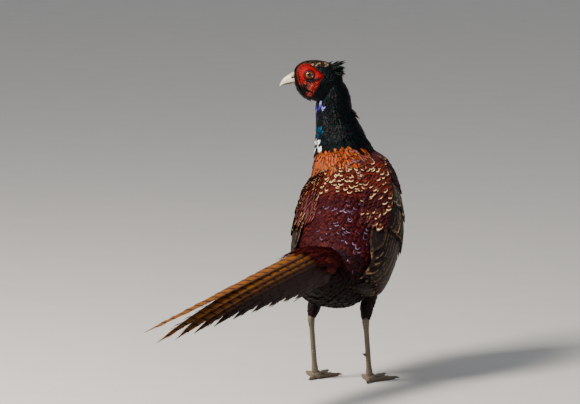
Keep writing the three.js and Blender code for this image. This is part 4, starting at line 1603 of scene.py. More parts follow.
@dataclass
class HeadCoat:
    """Short feathers of crown, cheeks and chin, and the ear tufts."""

    rows: Rows = Rows((0.985, 0.03), 2.1, 2.2, 6, 1.75, 1.7, 0.35)
    vane: Vane = Vane(lengths=4, widths=2, thickness=0.3, crown=0.3)
    lock_vane: Vane = Vane(5, 2, 1, LOCK_OUTLINE, 0.5, 0.3, 0.02)
    chin_rise: float = 2.6
    locks: int = 34
    lock_length: float = 20

    def looks(self, spots: Array, rng: Draw) -> dict[str, Array]:
        """Colours by the place on the head.

        Args:
            spots: The roots.
            rng: The random draw.

        Returns:
            The traits for a tract.
        """
        looks = [
            BLACK_NECK,
            GREEN_NECK,
            Look(Hue.CROWN, edge=Hue.BLACK, edged=0.6, gloss=0.2, vary=0.25),
            Look(Hue.CROWN_PALE, edge=Hue.CROWN, edged=0.5),
        ]
        forward, left, up = head_frame(lying_on(HEAD.at, spots))
        chance = rng.random(len(spots))
        chosen = np.where(chance < 0.25, 1, 0)
        crown = (up > 9.5 - 0.12 * forward) & (np.abs(left) < 14)
        chosen = np.where(crown & (chance < 0.85), 2, chosen)
        streak = (up > 10) & (up < 15) & (np.abs(left) > 5) & (forward < 1) & (forward > -24)
        return paint(looks, np.where(streak & (chance < 0.5), 3, chosen), rng)

    def build(self, skin: Skin, face: "Face", finishes: Finishes) -> list[Tract]:
        """Lays the small feathers round the bare faces, and the tufts.

        Args:
            skin: The skin.
            face: A bare face, which has no feathers.
            finishes: The materials.

        Returns:
            The tracts.
        """
        rng = np.random.default_rng(40)
        spots = self.rows.spots(HEAD.at, rng)
        spots = spots[skin.outside(HEAD.at, spots, 0.3)]
        forward, _, up = head_frame(lying_on(HEAD.at, spots))
        spots = spots[~face.covers(forward - 1.2, up, 0.97)]
        placed = self.rows.plot(HEAD.at, spots, rng)
        forward, _, up = head_frame(lying_on(HEAD.at, spots))
        placed.rise[(forward > 3) & (up < -15)] = self.chin_rise
        tract = Tract("head_feathers", HEAD.at, self.vane, placed, self.looks(spots, rng),
                      map_corner=(0.62, 0.0), map_size=(0.36, 0.2))
        tract.build(finishes.glossy, Slot.HEAD, 41)
        self.tufts(finishes)
        return [tract]

    def tufts(self, finishes: Finishes) -> None:
        """The ear tufts: loose pointed locks at both sides of the back of the crown.

        Args:
            finishes: The materials.
        """
        rng = np.random.default_rng(44)
        count = self.locks * 2
        side = np.repeat([1.0, -1.0], self.locks)
        share = np.tile(np.linspace(-1, 1, self.locks), 2) + rng.normal(0, 0.08, count)
        back, out = -28 + rng.normal(0, 2.4, count), 6.5 + rng.normal(0, 1.8, count)
        start = np.stack([back, side * out, 3.5 + 5.5 * share])
        length = self.lock_length * (0.6 + 0.4 * rng.random(count))
        rise = 1 + 4.5 * share + rng.normal(0, 1.6, count)
        reach = np.stack([-length, side * (3 + rng.normal(0, 1.8, count)), rise])

        def surface(number: Array, share: Array, lift: Array) -> Array:
            """A point of one of the locks, which bow upwards.

            Args:
                number: Which lock, with the place across it as fraction.
                share: How far along it.
                lift: Height over the form.

            Returns:
                The point.
            """
            index = np.clip(np.floor(number).astype(int), 0, count - 1)
            over = (number - np.floor(number) - 0.5) * 40
            spot = start[:, index] + reach[:, index] * share
            bow = 3.2 * share * (1 - share)
            out = side[index] * (lift - 0.4 * np.abs(over))
            return HEAD.place(spot[0], spot[1] + out, spot[2] + bow + over)

        roots = np.stack([np.arange(count) + 0.5, np.zeros(count)], axis=1)
        tips = roots + np.array([0, 1.0])
        chosen = (rng.random(count) < 0.3).astype(int)
        traits = paint([BLACK_NECK, Look(Hue.GREEN, gloss=0.7)], chosen, rng)
        tract = Tract("ear_tufts", surface, self.lock_vane, plot(roots, tips, 1.15, 0, 0.2), traits,
                      map_corner=(0.62, 0.22), map_size=(0.36, 0.04))
        tract.build(finishes.glossy, Slot.HEAD, 45)


# Wings


@dataclass(frozen=True)
class WingRow:
    """A row of wing feathers, its first and last root and tip as share of the wing and degrees round."""

    count: int
    half_width: float
    lift: float
    roots: tuple[Pair, Pair]
    tips: tuple[Pair, Pair]
    look: Look
    other: Look


DARK_LOOP = Look(Hue.WING_DARK, Hue.WING_BUFF, Hue.BLACK, marked=0.65, edged=0.5, gloss=0.1)
GREY_LOOP = Look(Hue.WING_GREY, Hue.CREAM, Hue.WING_DARK, marked=0.8, edged=0.9)
RED_LOOP = Look(Hue.RUFOUS, Hue.CREAM, Hue.BLACK, marked=1, edged=0.9)
MAROON_PLAIN = Look(Hue.MAROON, Hue.CREAM, Hue.WINE, edged=0.7, gloss=0.15)
BUFF_EDGE = Look(Hue.WING_DARK, Hue.WING_BUFF, Hue.WING_BUFF, marked=0.15, edged=0.6)
# Painted sunlight: a lighter, pinker copy of the grey looped wing look, for the left wing on the lit side.
PAINTED_SUNLIT_PINK_EDGE = Look(Hue.PINK, Hue.CREAM, Hue.PURPLE, marked=0.7, edged=0.6)
SHOULDER = Look(Hue.RUFOUS, Hue.ORANGE, Hue.BLACK, marked=0.6, edged=0.8)
# Painted sunlight: a lighter, rosier copy of the plain maroon wing look, for the left wing on the lit side.
PAINTED_SUNLIT_ROSY = Look(Hue.PINK, Hue.GLINT, Hue.WINE, marked=0.5, edged=0.7)

WING_ROWS = (
    WingRow(6, 7.5, -1.5, ((0.5, -27), (0.52, -17)), ((0.88, -26), (1.01, -9)), BUFF_EDGE, BUFF_EDGE),
    WingRow(11, 9.5, 0, ((0.38, -37), (0.44, 18)), ((0.78, -33), (0.9, 5)), BUFF_EDGE, DARK_LOOP),
    WingRow(4, 11, 1, ((0.44, 20), (0.4, 38)), ((0.88, 9), (0.74, 27)), DARK_LOOP, BUFF_EDGE),
    WingRow(12, 8.5, 0.2, ((0.27, -38), (0.3, 30)), ((0.52, -40), (0.58, 28)), DARK_LOOP, RED_LOOP),
    WingRow(11, 8.5, 0.3, ((0.18, -37), (0.2, 33)), ((0.39, -40), (0.43, 33)), DARK_LOOP, GREY_LOOP),
)


@dataclass
class Wing:
    """A folded wing that stands off the trunk from the shoulder to its tip."""

    side: int
    front: float = 5.95
    tip: float = 1.72
    stand_off: Table = ((1.7, 4.5), (2, 5.5), (3, 8.5), (4, 10.5), (5, 8.5), (6, 4.5))
    edges: Table = (
        (0, 8, -4), (0.1, 36, -36), (0.3, 47, -44), (0.6, 46, -38), (0.85, 24, -27), (1, -3, -14),
    )
    lean: float = 1.4
    sink: float = 6.6
    blend: float = 0.95
    vane: Vane = Vane(lengths=6, widths=4, thickness=0.5, crown=0.5, ragged=0.02)
    small_rows: int = 9
    small_count: int = 15
    small_spread: float = 34
    scapular_rows: int = 6
    scapular_count: int = 9

    def at(self, share: Array, angle: Array, lift: Array) -> Array:
        """A point of the wing's face.

        Args:
            share: Share of the wing's length.
            angle: Angle round the trunk.
            lift: Height over the form.

        Returns:
            The point.
        """
        station = between(self.front, self.tip, share)
        turned = angle if self.side > 0 else math.pi - angle
        upper = np.radians(eased_rows(self.edges, share, 1))
        merge = 1 - self.blend * ease(angle, upper - 0.45, upper + 0.1)
        return TRUNK.at(station, turned, eased_rows(self.stand_off, station, 1) * merge + lift)

    def core(self, along: Array, angle: Array, depth: float) -> Array:
        """A point of the flat form under the feathers: a lens between the wing's edges.

        Args:
            along: Share of its length.
            angle: Angle round the form.
            depth: How deep under the feathers, in millimetres.

        Returns:
            The point.
        """
        share = 0.02 + 0.9 * along
        lower, upper = (np.radians(eased_rows(self.edges, share, column)) for column in (2, 1))
        belly = np.sin(along * math.pi).clip(0)
        across = 0.5 + 0.5 * np.cos(angle) * np.sqrt(belly)
        return self.at(share, between(lower, upper, across), 6 * np.sin(angle) * belly**0.4 - depth - 6)

    def plots(self, row: WingRow, rng: Draw) -> Plot:
        """Roots and tips of one row, each a little astray.

        Args:
            row: The row.
            rng: The random draw.

        Returns:
            The plot.
        """
        share = np.linspace(0, 1, row.count)[:, None]
        ends = []
        for (first, last), stray in ((row.roots, (0.008, 1.2)), (row.tips, (0.014, 1.6))):
            spot = between(np.array(first, float), np.array(last, float), share)
            spot = spot + rng.normal(0, 0.6, spot.shape) * np.array(stray)
            ends.append(spot * np.array([1, math.pi / 180]))
        return plot(ends[0], ends[1], row.half_width, self.sink, row.lift, self.lean * self.side)

    def rows(self) -> list[WingRow]:
        """The big rows, the small coverts of the shoulder and the scapulars over the upper edge.

        Returns:
            All rows of the wing.
        """
        rows = list(WING_ROWS)
        for number in range(self.small_rows):
            start = 0.18 - 0.023 * number
            spread = self.small_spread * float(ease(start, -0.06, 0.1))
            roots = ((start - 0.03, -spread - 2), (start - 0.02, spread))
            tips = ((start + 0.08, -spread - 5), (start + 0.095, spread + 2))
            count = max(5, round(self.small_count * spread / self.small_spread))
            rows.append(WingRow(count, 5.6, 0.2 + 0.09 * number, roots, tips, MAROON_PLAIN, RED_LOOP))
        for number in range(self.scapular_rows):
            turn = 27 + 5.5 * number
            for start, look in ((0.26, MAROON_PLAIN), (0.04, SHOULDER)):
                roots = ((start, turn), (start + 0.19, turn + 3))
                tips = ((start + 0.15, turn + 3), (start + 0.35, turn + 1))
                lift = 1.6 - 0.4 * number
                rows.append(WingRow(self.scapular_count, 6.4, lift, roots, tips, look, RED_LOOP))
        return rows

    def build(self, finishes: Finishes) -> list[Tract]:
        """Makes the wing's feathers.

        Args:
            finishes: The materials.

        Returns:
            The tract, in a list.
        """
        name = side_name(self.side)
        rng = np.random.default_rng(60 + self.side)
        rows = self.rows()
        plots = [self.plots(row, rng) for row in rows]
        keys = Plot.__dataclass_fields__
        merged = Plot(*(np.concatenate([getattr(row, key) for row in plots]) for key in keys))
        # Painted sunlight: the left wing, on the lit side, swaps two of its looks for lighter, pinker
        # copies.
        painted_sunlit_looks = {GREY_LOOP: PAINTED_SUNLIT_PINK_EDGE, MAROON_PLAIN: PAINTED_SUNLIT_ROSY} if self.side > 0 else {}
        looks = [painted_sunlit_looks.get(look, look) for row in rows for look in (row.look, row.other)]
        numbers = np.repeat(np.arange(len(rows)) * 2, [row.count for row in rows])
        numbers = numbers + (rng.random(len(numbers)) < 0.3)
        tract = Tract(f"wing_feathers_{name}", self.at, self.vane, merged, paint(looks, numbers, rng),
                      map_corner=(0.62 if self.side > 0 else 0.81, 0.28), map_size=(0.17, 0.3))
        tract.build(finishes.flight, Slot.WING, 62 + self.side, (f"wing_{name}",))
        return [tract]


# Tail


TAIL_OUTLINE = ((0, 0.4), (0.12, 1), (0.55, 0.85), (0.8, 0.66), (0.92, 0.44), (1, 0.07))
COVERT_OUTLINE = ((0, 0.4), (0.3, 0.9), (0.6, 1), (0.85, 0.7), (1, 0.1))
STRAND_OUTLINE = ((0, 0.5), (0.3, 1), (0.7, 0.6), (1, 0.05))


@dataclass
class Tail:
    """The long graded tail: a vaulted fan on a ridge line that starts on the rump."""

    root: Triple = (-90, -2, 193)
    length: float = 480
    yaw: float = 8
    pitch: float = -6.5
    start: float = -6
    core: float = 132
    flare: float = 0.22
    layer: float = 1.0
    middle: Table = ((9, 490, 0), (-9, 468, 17))
    pairs: Table = (
        (24, 430, 21), (37, 388, 22), (49, 344, 21), (61, 300, 19),
        (72, 256, 17), (82, 216, 15), (92, 180, 13), (102, 150, 12),
    )
    half_width: float = 12.5
    vane: Vane = Vane(30, 6, 1.15, TAIL_OUTLINE, 0.9, 0.6, 0.006, 0.01)
    covert_vane: Vane = Vane(6, 4, 1.3, COVERT_OUTLINE, 0.5, 0.6, 0.04)
    strand_vane: Vane = Vane(4, 2, 1, STRAND_OUTLINE, 0.5, 0.15, 0.01, 0)
    covert_rows: int = 6
    covert_count: int = 13
    covert_turn: float = 78
    fringe: int = 900
    over: int = 420

    def axes(self) -> tuple[Array, Array, Array]:
        """The ridge line's direction, and the tail's left and up.

        Returns:
            Three directions.
        """
        yaw, pitch = math.radians(self.yaw), math.radians(self.pitch)
        out = np.array([math.sin(yaw), math.cos(yaw) * math.cos(pitch), math.cos(yaw) * math.sin(pitch)])
        left = unit(-np.cross(UP, out))
        return out, left, unit(np.cross(left, out))

    def vault(self, far: Array) -> tuple[Array, Array]:
        """The vault's radius at a distance, and how far it is open there."""
        return between(31, 15, far / self.length), between(0.5, 1, ease(far, self.start, 75))

    def at(self, distance: Array, roll: Array, lift: Array) -> Array:
        """A point of the vault, in hundreds of millimetres along it and as a turn from the ridge."""
        far = np.asarray(distance, float) * 100
        return self.spot(far, self.girth(far, roll) + lift, roll)

    def girth(self, far: Array, roll: Array) -> Array:
        """The feathers' radius round the axis at a distance and a turn."""
        vault, opening = self.vault(far)
        return vault * opening * (1 + self.flare * (1 - np.cos(roll)))

    def spot(self, far: Array, radius: Array, roll: Array) -> Array:
        """A point at a distance along the axis, a radius round it and a turn from the ridge.

        Args:
            far: Distance along the axis.
            radius: Radius round it.
            roll: Turn from the ridge.

        Returns:
            The point.
        """
        out, left, up = self.axes()
        radius, turn = radius[..., None], np.asarray(roll)[..., None]
        place = at(*self.root) + out * far[..., None] - up * self.vault(far)[0][..., None]
        return place + up * radius * np.cos(turn) + left * radius * np.sin(turn)

    def base(self, along: Array, angle: Array, lift: float) -> Array:
        """A point of the fleshy base.

        Args:
            along: Share of its length.
            angle: Angle round the form.
            lift: Height over the form.

        Returns:
            The point.
        """
        far = between(self.start - 14, self.core * 0.75, along)
        vault, opening = self.vault(far)
        girth = np.sqrt(np.maximum(0, 1 - (np.maximum(0, along - 0.4) / 0.6) ** 2.5))
        below = 1 - 0.55 * ease(np.abs(angle), math.pi / 2, math.pi)
        reach = np.maximum(vault * opening * below * girth + lift, 0) * ease(along, 0, 0.08)
        return self.spot(far, reach, angle)

    def feathers(self) -> Array:
        """Roll, length, droop and layer of each long feather, left and right.

        Returns:
            One row for each feather.
        """
        rows = [(*row, number) for number, row in enumerate(self.middle)]
        for number, (roll, length, droop) in enumerate(self.pairs):
            rows += [(side * roll, length, droop, number + 2) for side in (1, -1)]
        return np.array(rows, float)

    def widths(self, length: Array) -> Array:
        """Half width of feathers of those lengths."""
        return self.half_width * between(0.72, 1, length / self.length)

    def build(self, finishes: Finishes) -> list[Tract]:
        """Makes the long feathers, the coverts at their base and the loose strands.

        Args:
            finishes: The materials.

        Returns:
            The tracts whose colours the skin shares.
        """
        rng = np.random.default_rng(80)
        rolls, length, droop, layer = self.feathers().T
        count = len(rolls)
        roll = np.radians(rolls)
        roots = np.stack([np.full(count, self.start / 100), roll], axis=1)
        tips = np.stack([length / 100, roll + rng.normal(0, 0.01, count)], axis=1)
        depth = self.layer * layer
        traits = paint([Look(Hue.TAIL, vary=0.08)], np.zeros(count, int), rng)
        traits["Chance"] = 0.22 * rng.random(count)
        # Painted shade: feathers further round the vault's flanks are darkened towards the side colour,
        # standing in for the shade on the tail's side.
        traits["Side"] = ease(np.abs(rolls), 12, 50) * 0.92
        placed = plot(roots, tips, self.widths(length), depth, -depth)
        long = Tract("tail_feathers", self.at, self.vane, placed, traits, droop, -self.axes()[2],
                     (0.62, 0.6), (0.36, 0.1))
        long.build(finishes.tail, Slot.TAIL, 81, ("tail",))
        self.strands(finishes)
        return [long, self.coverts(finishes)]

    def coverts(self, finishes: Finishes) -> Tract:
        """Feathers of the rump that lie over the base of the tail.

        Args:
            finishes: The materials.

        Returns:
            The tract.
        """
        rng = np.random.default_rng(84)
        roots, tips, rise = [], [], []
        for row in range(self.covert_rows):
            count = self.covert_count - row
            share = np.linspace(-1, 1, count) + rng.normal(0, 0.03, count)
            start = 0.36 - 0.12 * row
            length = (0.62 - 0.02 * row) * (1 - 0.15 * share**2) + rng.normal(0, 0.04, count)
            turn = np.radians(74) * share + rng.normal(0, 0.03, count)
            roots.append(np.stack([np.full(count, start), np.radians(self.covert_turn) * share], axis=1))
            tips.append(np.stack([start + length, turn], axis=1))
            rise.append(np.full(count, 0.6 + 0.25 * row))
        looks = [
            Look(Hue.RUFOUS, Hue.ORANGE, Hue.WINE, edged=0.4, streak=0.3),
            Look(Hue.MAROON, Hue.LILAC, Hue.WINE, edged=0.5, gloss=0.2),
            Look(Hue.ORANGE, Hue.CREAM, Hue.RUFOUS, edged=0.4),
        ]
        roots, tips = np.vstack(roots), np.vstack(tips)
        chosen = rng.choice(3, len(roots), p=[0.45, 0.35, 0.2])
        placed = plot(roots, tips, 7, 3.5, np.concatenate(rise))
        tract = Tract("tail_coverts", self.at, self.covert_vane, placed, paint(looks, chosen, rng),
                      map_corner=(0.62, 0.72), map_size=(0.36, 0.06))
        tract.build(finishes.contour, Slot.BODY, 85)
        return tract

    def strands(self, finishes: Finishes) -> None:
        """Loose barbs along both sides of each tail feather, and hairlike ones over the tail's base.

        Args:
            finishes: The materials.
        """
        rng = np.random.default_rng(88)
        rows = self.feathers()
        roll, length, droop, layer = rows[rng.integers(0, len(rows), self.fringe)].T
        share = between(0.1, 0.93, rng.random(self.fringe))
        far = share * length
        hand = rng.choice([-1.0, 1.0], self.fringe)
        width = self.widths(length) * np.interp(share, *np.array(TAIL_OUTLINE).T)
        girth = self.girth((self.start + length) / 2, np.radians(roll))
        roots = np.stack([far / 100, np.radians(roll) + hand * width * 0.88 / girth], axis=1)
        reach = 9 + 8 * rng.random(self.fringe)
        spread = hand * (2 + 2 * rng.random(self.fringe)) / girth
        tips = roots + np.stack([reach / 100, spread], axis=1)
        place = between(-0.15, 0.75, rng.random(self.over))
        turn = np.radians(np.clip(rng.normal(0, 42, self.over), -75, 75))
        start = np.stack([place, turn], axis=1)
        run, stray = 0.22 + 0.16 * rng.random(self.over), rng.normal(0, 0.12, self.over)
        end = start + np.stack([run, stray], axis=1)
        looks = [Look(hue, vary=0.2) for hue in (Hue.TAIL_FRINGE, Hue.TAIL_SIDE, Hue.RUFOUS, Hue.MAROON)]
        chosen = np.concatenate([rng.choice(2, self.fringe), 2 + rng.choice(2, self.over)])
        depth = self.layer * layer
        placed = plot(
            np.vstack([roots, start]),
            np.vstack([tips, end]),
            np.repeat([0.45, 0.55], [self.fringe, self.over]),
            np.concatenate([depth + 0.2, np.full(self.over, -1.0)]),
            np.concatenate([-depth, between(1.2, 3.6, rng.random(self.over))]),
        )
        sag = np.concatenate([droop * share**3, np.zeros(self.over)])
        down = -self.axes()[2]

        def surface(distance: Array, turn: Array, lift: Array) -> Array:
            """A point of the vault, lowered as far as the feather that the strand grows from."""
            lowered = sag.reshape((-1,) + (1,) * (np.ndim(distance) - 1)) * np.ones_like(distance)
            return self.at(distance, turn, lift) + lowered[..., None] * down

        tract = Tract("tail_strands", surface, self.strand_vane, placed, paint(looks, chosen, rng),
                      map_corner=(0.62, 0.8), map_size=(0.36, 0.1))
        tract.build(finishes.contour, Slot.TAIL, 89)


# Bare face, lids and eyes


@dataclass
class Face:
    """The swollen bare skin round one eye, with its folds, warts and lids."""

    side: int
    outline: Table = (
        (16.5, 1), (13.8, 8.8), (8, 12.6), (0.8, 13), (-6.6, 10), (-13, 4.5), (-20, -2), (-15.5, -8),
        (-11.5, -16), (-8.2, -23), (-2.6, -29.8), (2.4, -30.4), (7.8, -24.6), (11.5, -17), (14.6, -8),
    )
    middle: Pair = (0, -6)
    swell: float = 2.8
    folds: Table = (
        (-9, -8, 1, -0.45, 1.1, 2.2), (0, -22, 1, 0.5, 1, 2.2), (6, -14, 0.6, 1, 0.5, 1.6),
    )
    mound_reach: float = 15.7
    mound: Pair = (6, 12)
    warts: int = 1100
    wart_height: float = 0.55
    wart_radius: float = 0.5
    front: float = 0.86
    eye_ring: Pair = (6.2, 8.2)
    specks: int = 300
    # Pale specks: painted glints on the lower lobe.
    painted_glint_specks: int = 120
    bristle_vane: Vane = Vane(3, 2, 1, STRAND_OUTLINE, 0.25, 0.1, 0.02, 0)
    bristle_length: float = 2.6
    line_bristles: int = 90
    lobe_bristles: int = 110
    rim_bristles: int = 200
    lid_radius: float = 5.3
    lid_thickness: float = 1.15

    @property
    def name(self) -> str:
        """Which side it is."""
        return side_name(self.side)

    def edge(self, angle: Array) -> Array:
        """The outline at an angle round the face."""
        return Curve(np.array(self.outline, float), closed=True).at(angle / (2 * math.pi))

    def covers(self, forward: Array, up: Array, size: float) -> Array:
        """Which places lie inside the outline, drawn in or out by a factor.

        Args:
            forward: How far in front of the eyes.
            up: How far above the eyes.
            size: The factor.

        Returns:
            True for each place inside.
        """
        ring = self.edge(np.linspace(0, 2 * math.pi, 200, endpoint=False)) - self.middle
        turns = np.arctan2(ring[:, 1], ring[:, 0])
        order = np.argsort(turns)
        spot = np.stack([forward, up], axis=-1) - self.middle
        turn, reach = np.arctan2(spot[..., 1], spot[..., 0]), np.linalg.norm(ring, axis=1)
        limit = np.interp(turn, turns[order], reach[order], period=2 * math.pi)
        return np.linalg.norm(spot, axis=-1) < limit * size

    def relief(self, forward: Array, up: Array, share: Array) -> tuple[Array, Array]:
        """How high warts and folds stand, and how deep in a fold each place lies.

        Args:
            forward: How far in front of the eyes.
            up: How far above the eyes.
            share: How far from the middle (0) to the edge (1).

        Returns:
            Both heights, in millimetres.
        """
        rng = np.random.default_rng(91)
        spread = np.sqrt(rng.random(self.warts))[:, None]
        spots = self.middle + (self.edge(rng.random(self.warts) * 2 * math.pi) - self.middle) * spread
        bump = np.zeros(len(forward))
        for spot, size in zip(spots, 0.6 + 0.8 * rng.random(self.warts)):
            away = (forward - spot[0]) ** 2 + (up - spot[1]) ** 2
            near = away < 4
            bump[near] = np.maximum(bump[near], size * np.exp(-away[near] / self.wart_radius**2))
        groove = np.zeros(len(forward))
        for ahead, high, run, climb, depth, width in self.folds:
            across = (forward - ahead) * climb - (up - high) * run
            groove = groove + depth * np.exp(-((across / width) ** 2))
        calm = ease(np.hypot(forward, up), self.mound[0], self.mound[0] + 2.5)
        fade = (1 - ease(share, 0.86, 1)) * calm
        return (self.wart_height * bump - groove) * fade, groove

    def place(self, along: Array, angle: Array) -> Array:
        """A point of the bare skin: a lens with its back sunk in the cheek.

        Args:
            along: Share of its length.
            angle: Angle round the form.

        Returns:
            The point.
        """
        outside = along < self.front
        swept = np.sin(np.minimum(along / self.front, 1) * math.pi / 2)
        share = np.where(outside, swept, (1 - along) / (1 - self.front))
        forward, up = (self.middle + (self.edge(angle) - self.middle) * share[:, None]).T
        cheek = HEAD.reach(forward, up)
        dome = self.swell * np.sqrt(np.maximum(0, 1 - share**3))
        relief, _ = self.relief(forward, up, share)
        rise = 1 - ease(np.hypot(forward, up), *self.mound)
        reach = between(cheek + dome + relief, self.mound_reach, rise)
        reach = np.where(outside, reach - 0.8 * ease(share, 0.93, 1), cheek - dome - 0.8)
        return HEAD.place(forward, self.side * reach, up)

    def build(self, finishes: Finishes) -> None:
        """Makes the bare skin, the lids and the eye.

        Args:
            finishes: The materials.
        """
        face = loft(f"face_{self.name}", 220, 150, self.place)
        forward, _, up = head_frame(from_frame(vertices(face)))
        _, groove = self.relief(forward, up, np.zeros(len(forward)))
        rng = np.random.default_rng(93)
        # Painted shade: the skin darkens towards deep red with the depth of its folds.
        colour = tinted(Hue.FACE, Hue.FACE_DEEP, np.clip(groove * 0.6, 0, 0.8))
        # Dark specks mottle the lower lobe; the pale specks are painted glints on it.
        kinds = ((Hue.FACE_DARK, self.specks, 0.95), (Hue.FACE_PALE, self.painted_glint_specks, 0.7))
        for tint, count, strength in kinds:
            specks = np.zeros(len(forward))
            for _ in range(count):
                ahead, high = rng.normal(1, 6), rng.normal(-18, 6.5)
                away = (forward - ahead) ** 2 + (up - high) ** 2
                specks = np.maximum(specks, np.exp(-away / (0.3 + 0.35 * rng.random()) ** 2))
            colour = tinted(colour, tint, strength * specks)
        round_eye = 1 - ease(np.hypot(forward, up + 0.6), *self.eye_ring)
        add_trait(face.data, "Marking", tinted(colour, Hue.FACE_DARK, 0.85 * round_eye))
        finish(face, Slot.FACE, finishes.face, (f"wattle_{self.name}",))
        self.bristles(finishes)
        self.lids(finishes)
        self.eye(finishes)

    def bristles(self, finishes: Finishes) -> None:
        """Tiny black feathers in a line under the eye, on the front of the lower lobe and along the rim.

        Args:
            finishes: The materials.
        """
        rng = np.random.default_rng(95)
        line = between(-11, 9, rng.random(self.line_bristles))
        sag = -7.4 + 0.03 * (line - 1) ** 2 + rng.normal(0, 0.55, self.line_bristles)
        lobe = [rng.normal(6.5, 2.6, self.lobe_bristles), rng.normal(-19, 4.5, self.lobe_bristles)]
        rim = self.edge(rng.random(self.rim_bristles) * 2 * math.pi) - self.middle
        rim = self.middle + rim * between(0.9, 0.97, rng.random(self.rim_bristles))[:, None]
        roots = np.vstack([np.stack([line, sag], axis=1), np.stack(lobe, axis=1), rim])
        roots = roots[self.covers(*roots.T, 0.97)]
        count = len(roots)
        way = np.stack([-0.8 + rng.normal(0, 0.2, count), -0.6 + rng.normal(0, 0.3, count)], axis=1)
        length = self.bristle_length * (0.7 + 0.5 * rng.random(count))

        def surface(forward: Array, up: Array, lift: Array) -> Array:
            """A point of the bare skin's dome, without its warts.

            Args:
                forward: How far in front of the eyes.
                up: How far above the eyes.
                lift: Height over the form.

            Returns:
                The point.
            """
            share = np.clip(np.hypot(forward - self.middle[0], up - self.middle[1]) / 24, 0, 1)
            dome = self.swell * np.sqrt(1 - share**3)
            return HEAD.place(forward, self.side * (HEAD.reach(forward, up) + dome + lift), up)

        traits = paint([BLACK_NECK], np.zeros(count, int), rng)
        placed = plot(roots, roots + way * length[:, None], 0.42, 0.5, 0.35)
        tract = Tract(f"face_bristles_{self.name}", surface, self.bristle_vane, placed, traits,
                      map_corner=(0.62 if self.side > 0 else 0.81, 0.92), map_size=(0.17, 0.04))
        tract.build(finishes.glossy, Slot.HEAD, 96)

    def lids(self, finishes: Finishes) -> None:
        """The ring of the two lids: folded, thicker above, and drawn to a corner at each end.

        Args:
            finishes: The materials.
        """
        bpy.ops.object.select_all(action="DESELECT")
        bpy.ops.mesh.primitive_torus_add(
            major_segments=96, minor_segments=20,
            major_radius=self.lid_radius, minor_radius=self.lid_thickness,
        )
        piece = bpy.context.object
        piece.name = piece.data.name = f"lids_{self.name}"
        ring = vertices(piece)
        turn = np.arctan2(ring[:, 1], ring[:, 0])
        over = np.hypot(ring[:, 0], ring[:, 1]) - self.lid_radius
        fold = 1 + 0.1 * np.sin(turn * 34) * ease(over, -0.2, 0.8) + 0.14 * np.sin(3.2 * over)
        thick = (1 + 0.22 * np.sin(turn)) * fold
        middle = self.lid_radius * (1 - 0.1 * np.abs(np.sin(turn)) + 0.05 * np.cos(2 * turn))
        radius = middle + over * thick
        seat = HEAD.eye_spread + np.sqrt(HEAD.eye_radius**2 - middle**2) + 0.25
        out = self.side * (seat + ring[:, 2] * thick)
        move_vertices(piece, to_frame(HEAD.place(radius * np.cos(turn), out, radius * np.sin(turn))))
        face_outwards(piece)
        inner = 1 - ease(over, -0.9, 0.5)
        add_trait(piece.data, "Marking", tinted(Hue.FACE_DEEP, Hue.LID, inner))
        finish(piece, Slot.FACE, finishes.lid)

    def eye(self, finishes: Finishes) -> None:
        """The eyeball with the bulge of its cornea.

        Args:
            finishes: The materials.
        """

        def surface(along: Array, angle: Array) -> Array:
            """A point of the eyeball, which bulges over the iris.

            Args:
                along: Share of its length.
                angle: Angle round the form.

            Returns:
                The point.
            """
            away = HEAD.eye_radius * np.sin(along * math.pi)
            bulge = 0.45 * (1 - ease(away, 0, 4.6)) * (along > 0.5)
            return eyeball(self.side, along, angle, HEAD.eye_radius - 0.05 + bulge)

        piece = loft(f"eyeball_{self.name}", 64, 48, surface)
        forward, left, up = head_frame(from_frame(vertices(piece)))
        outer = self.side * left > HEAD.eye_spread
        add_trait(piece.data, "Away", np.where(outer, np.hypot(forward, up), 20))
        finish(piece, Slot.EYE, finishes.eye, (f"eye_{self.name}",))


# Bill


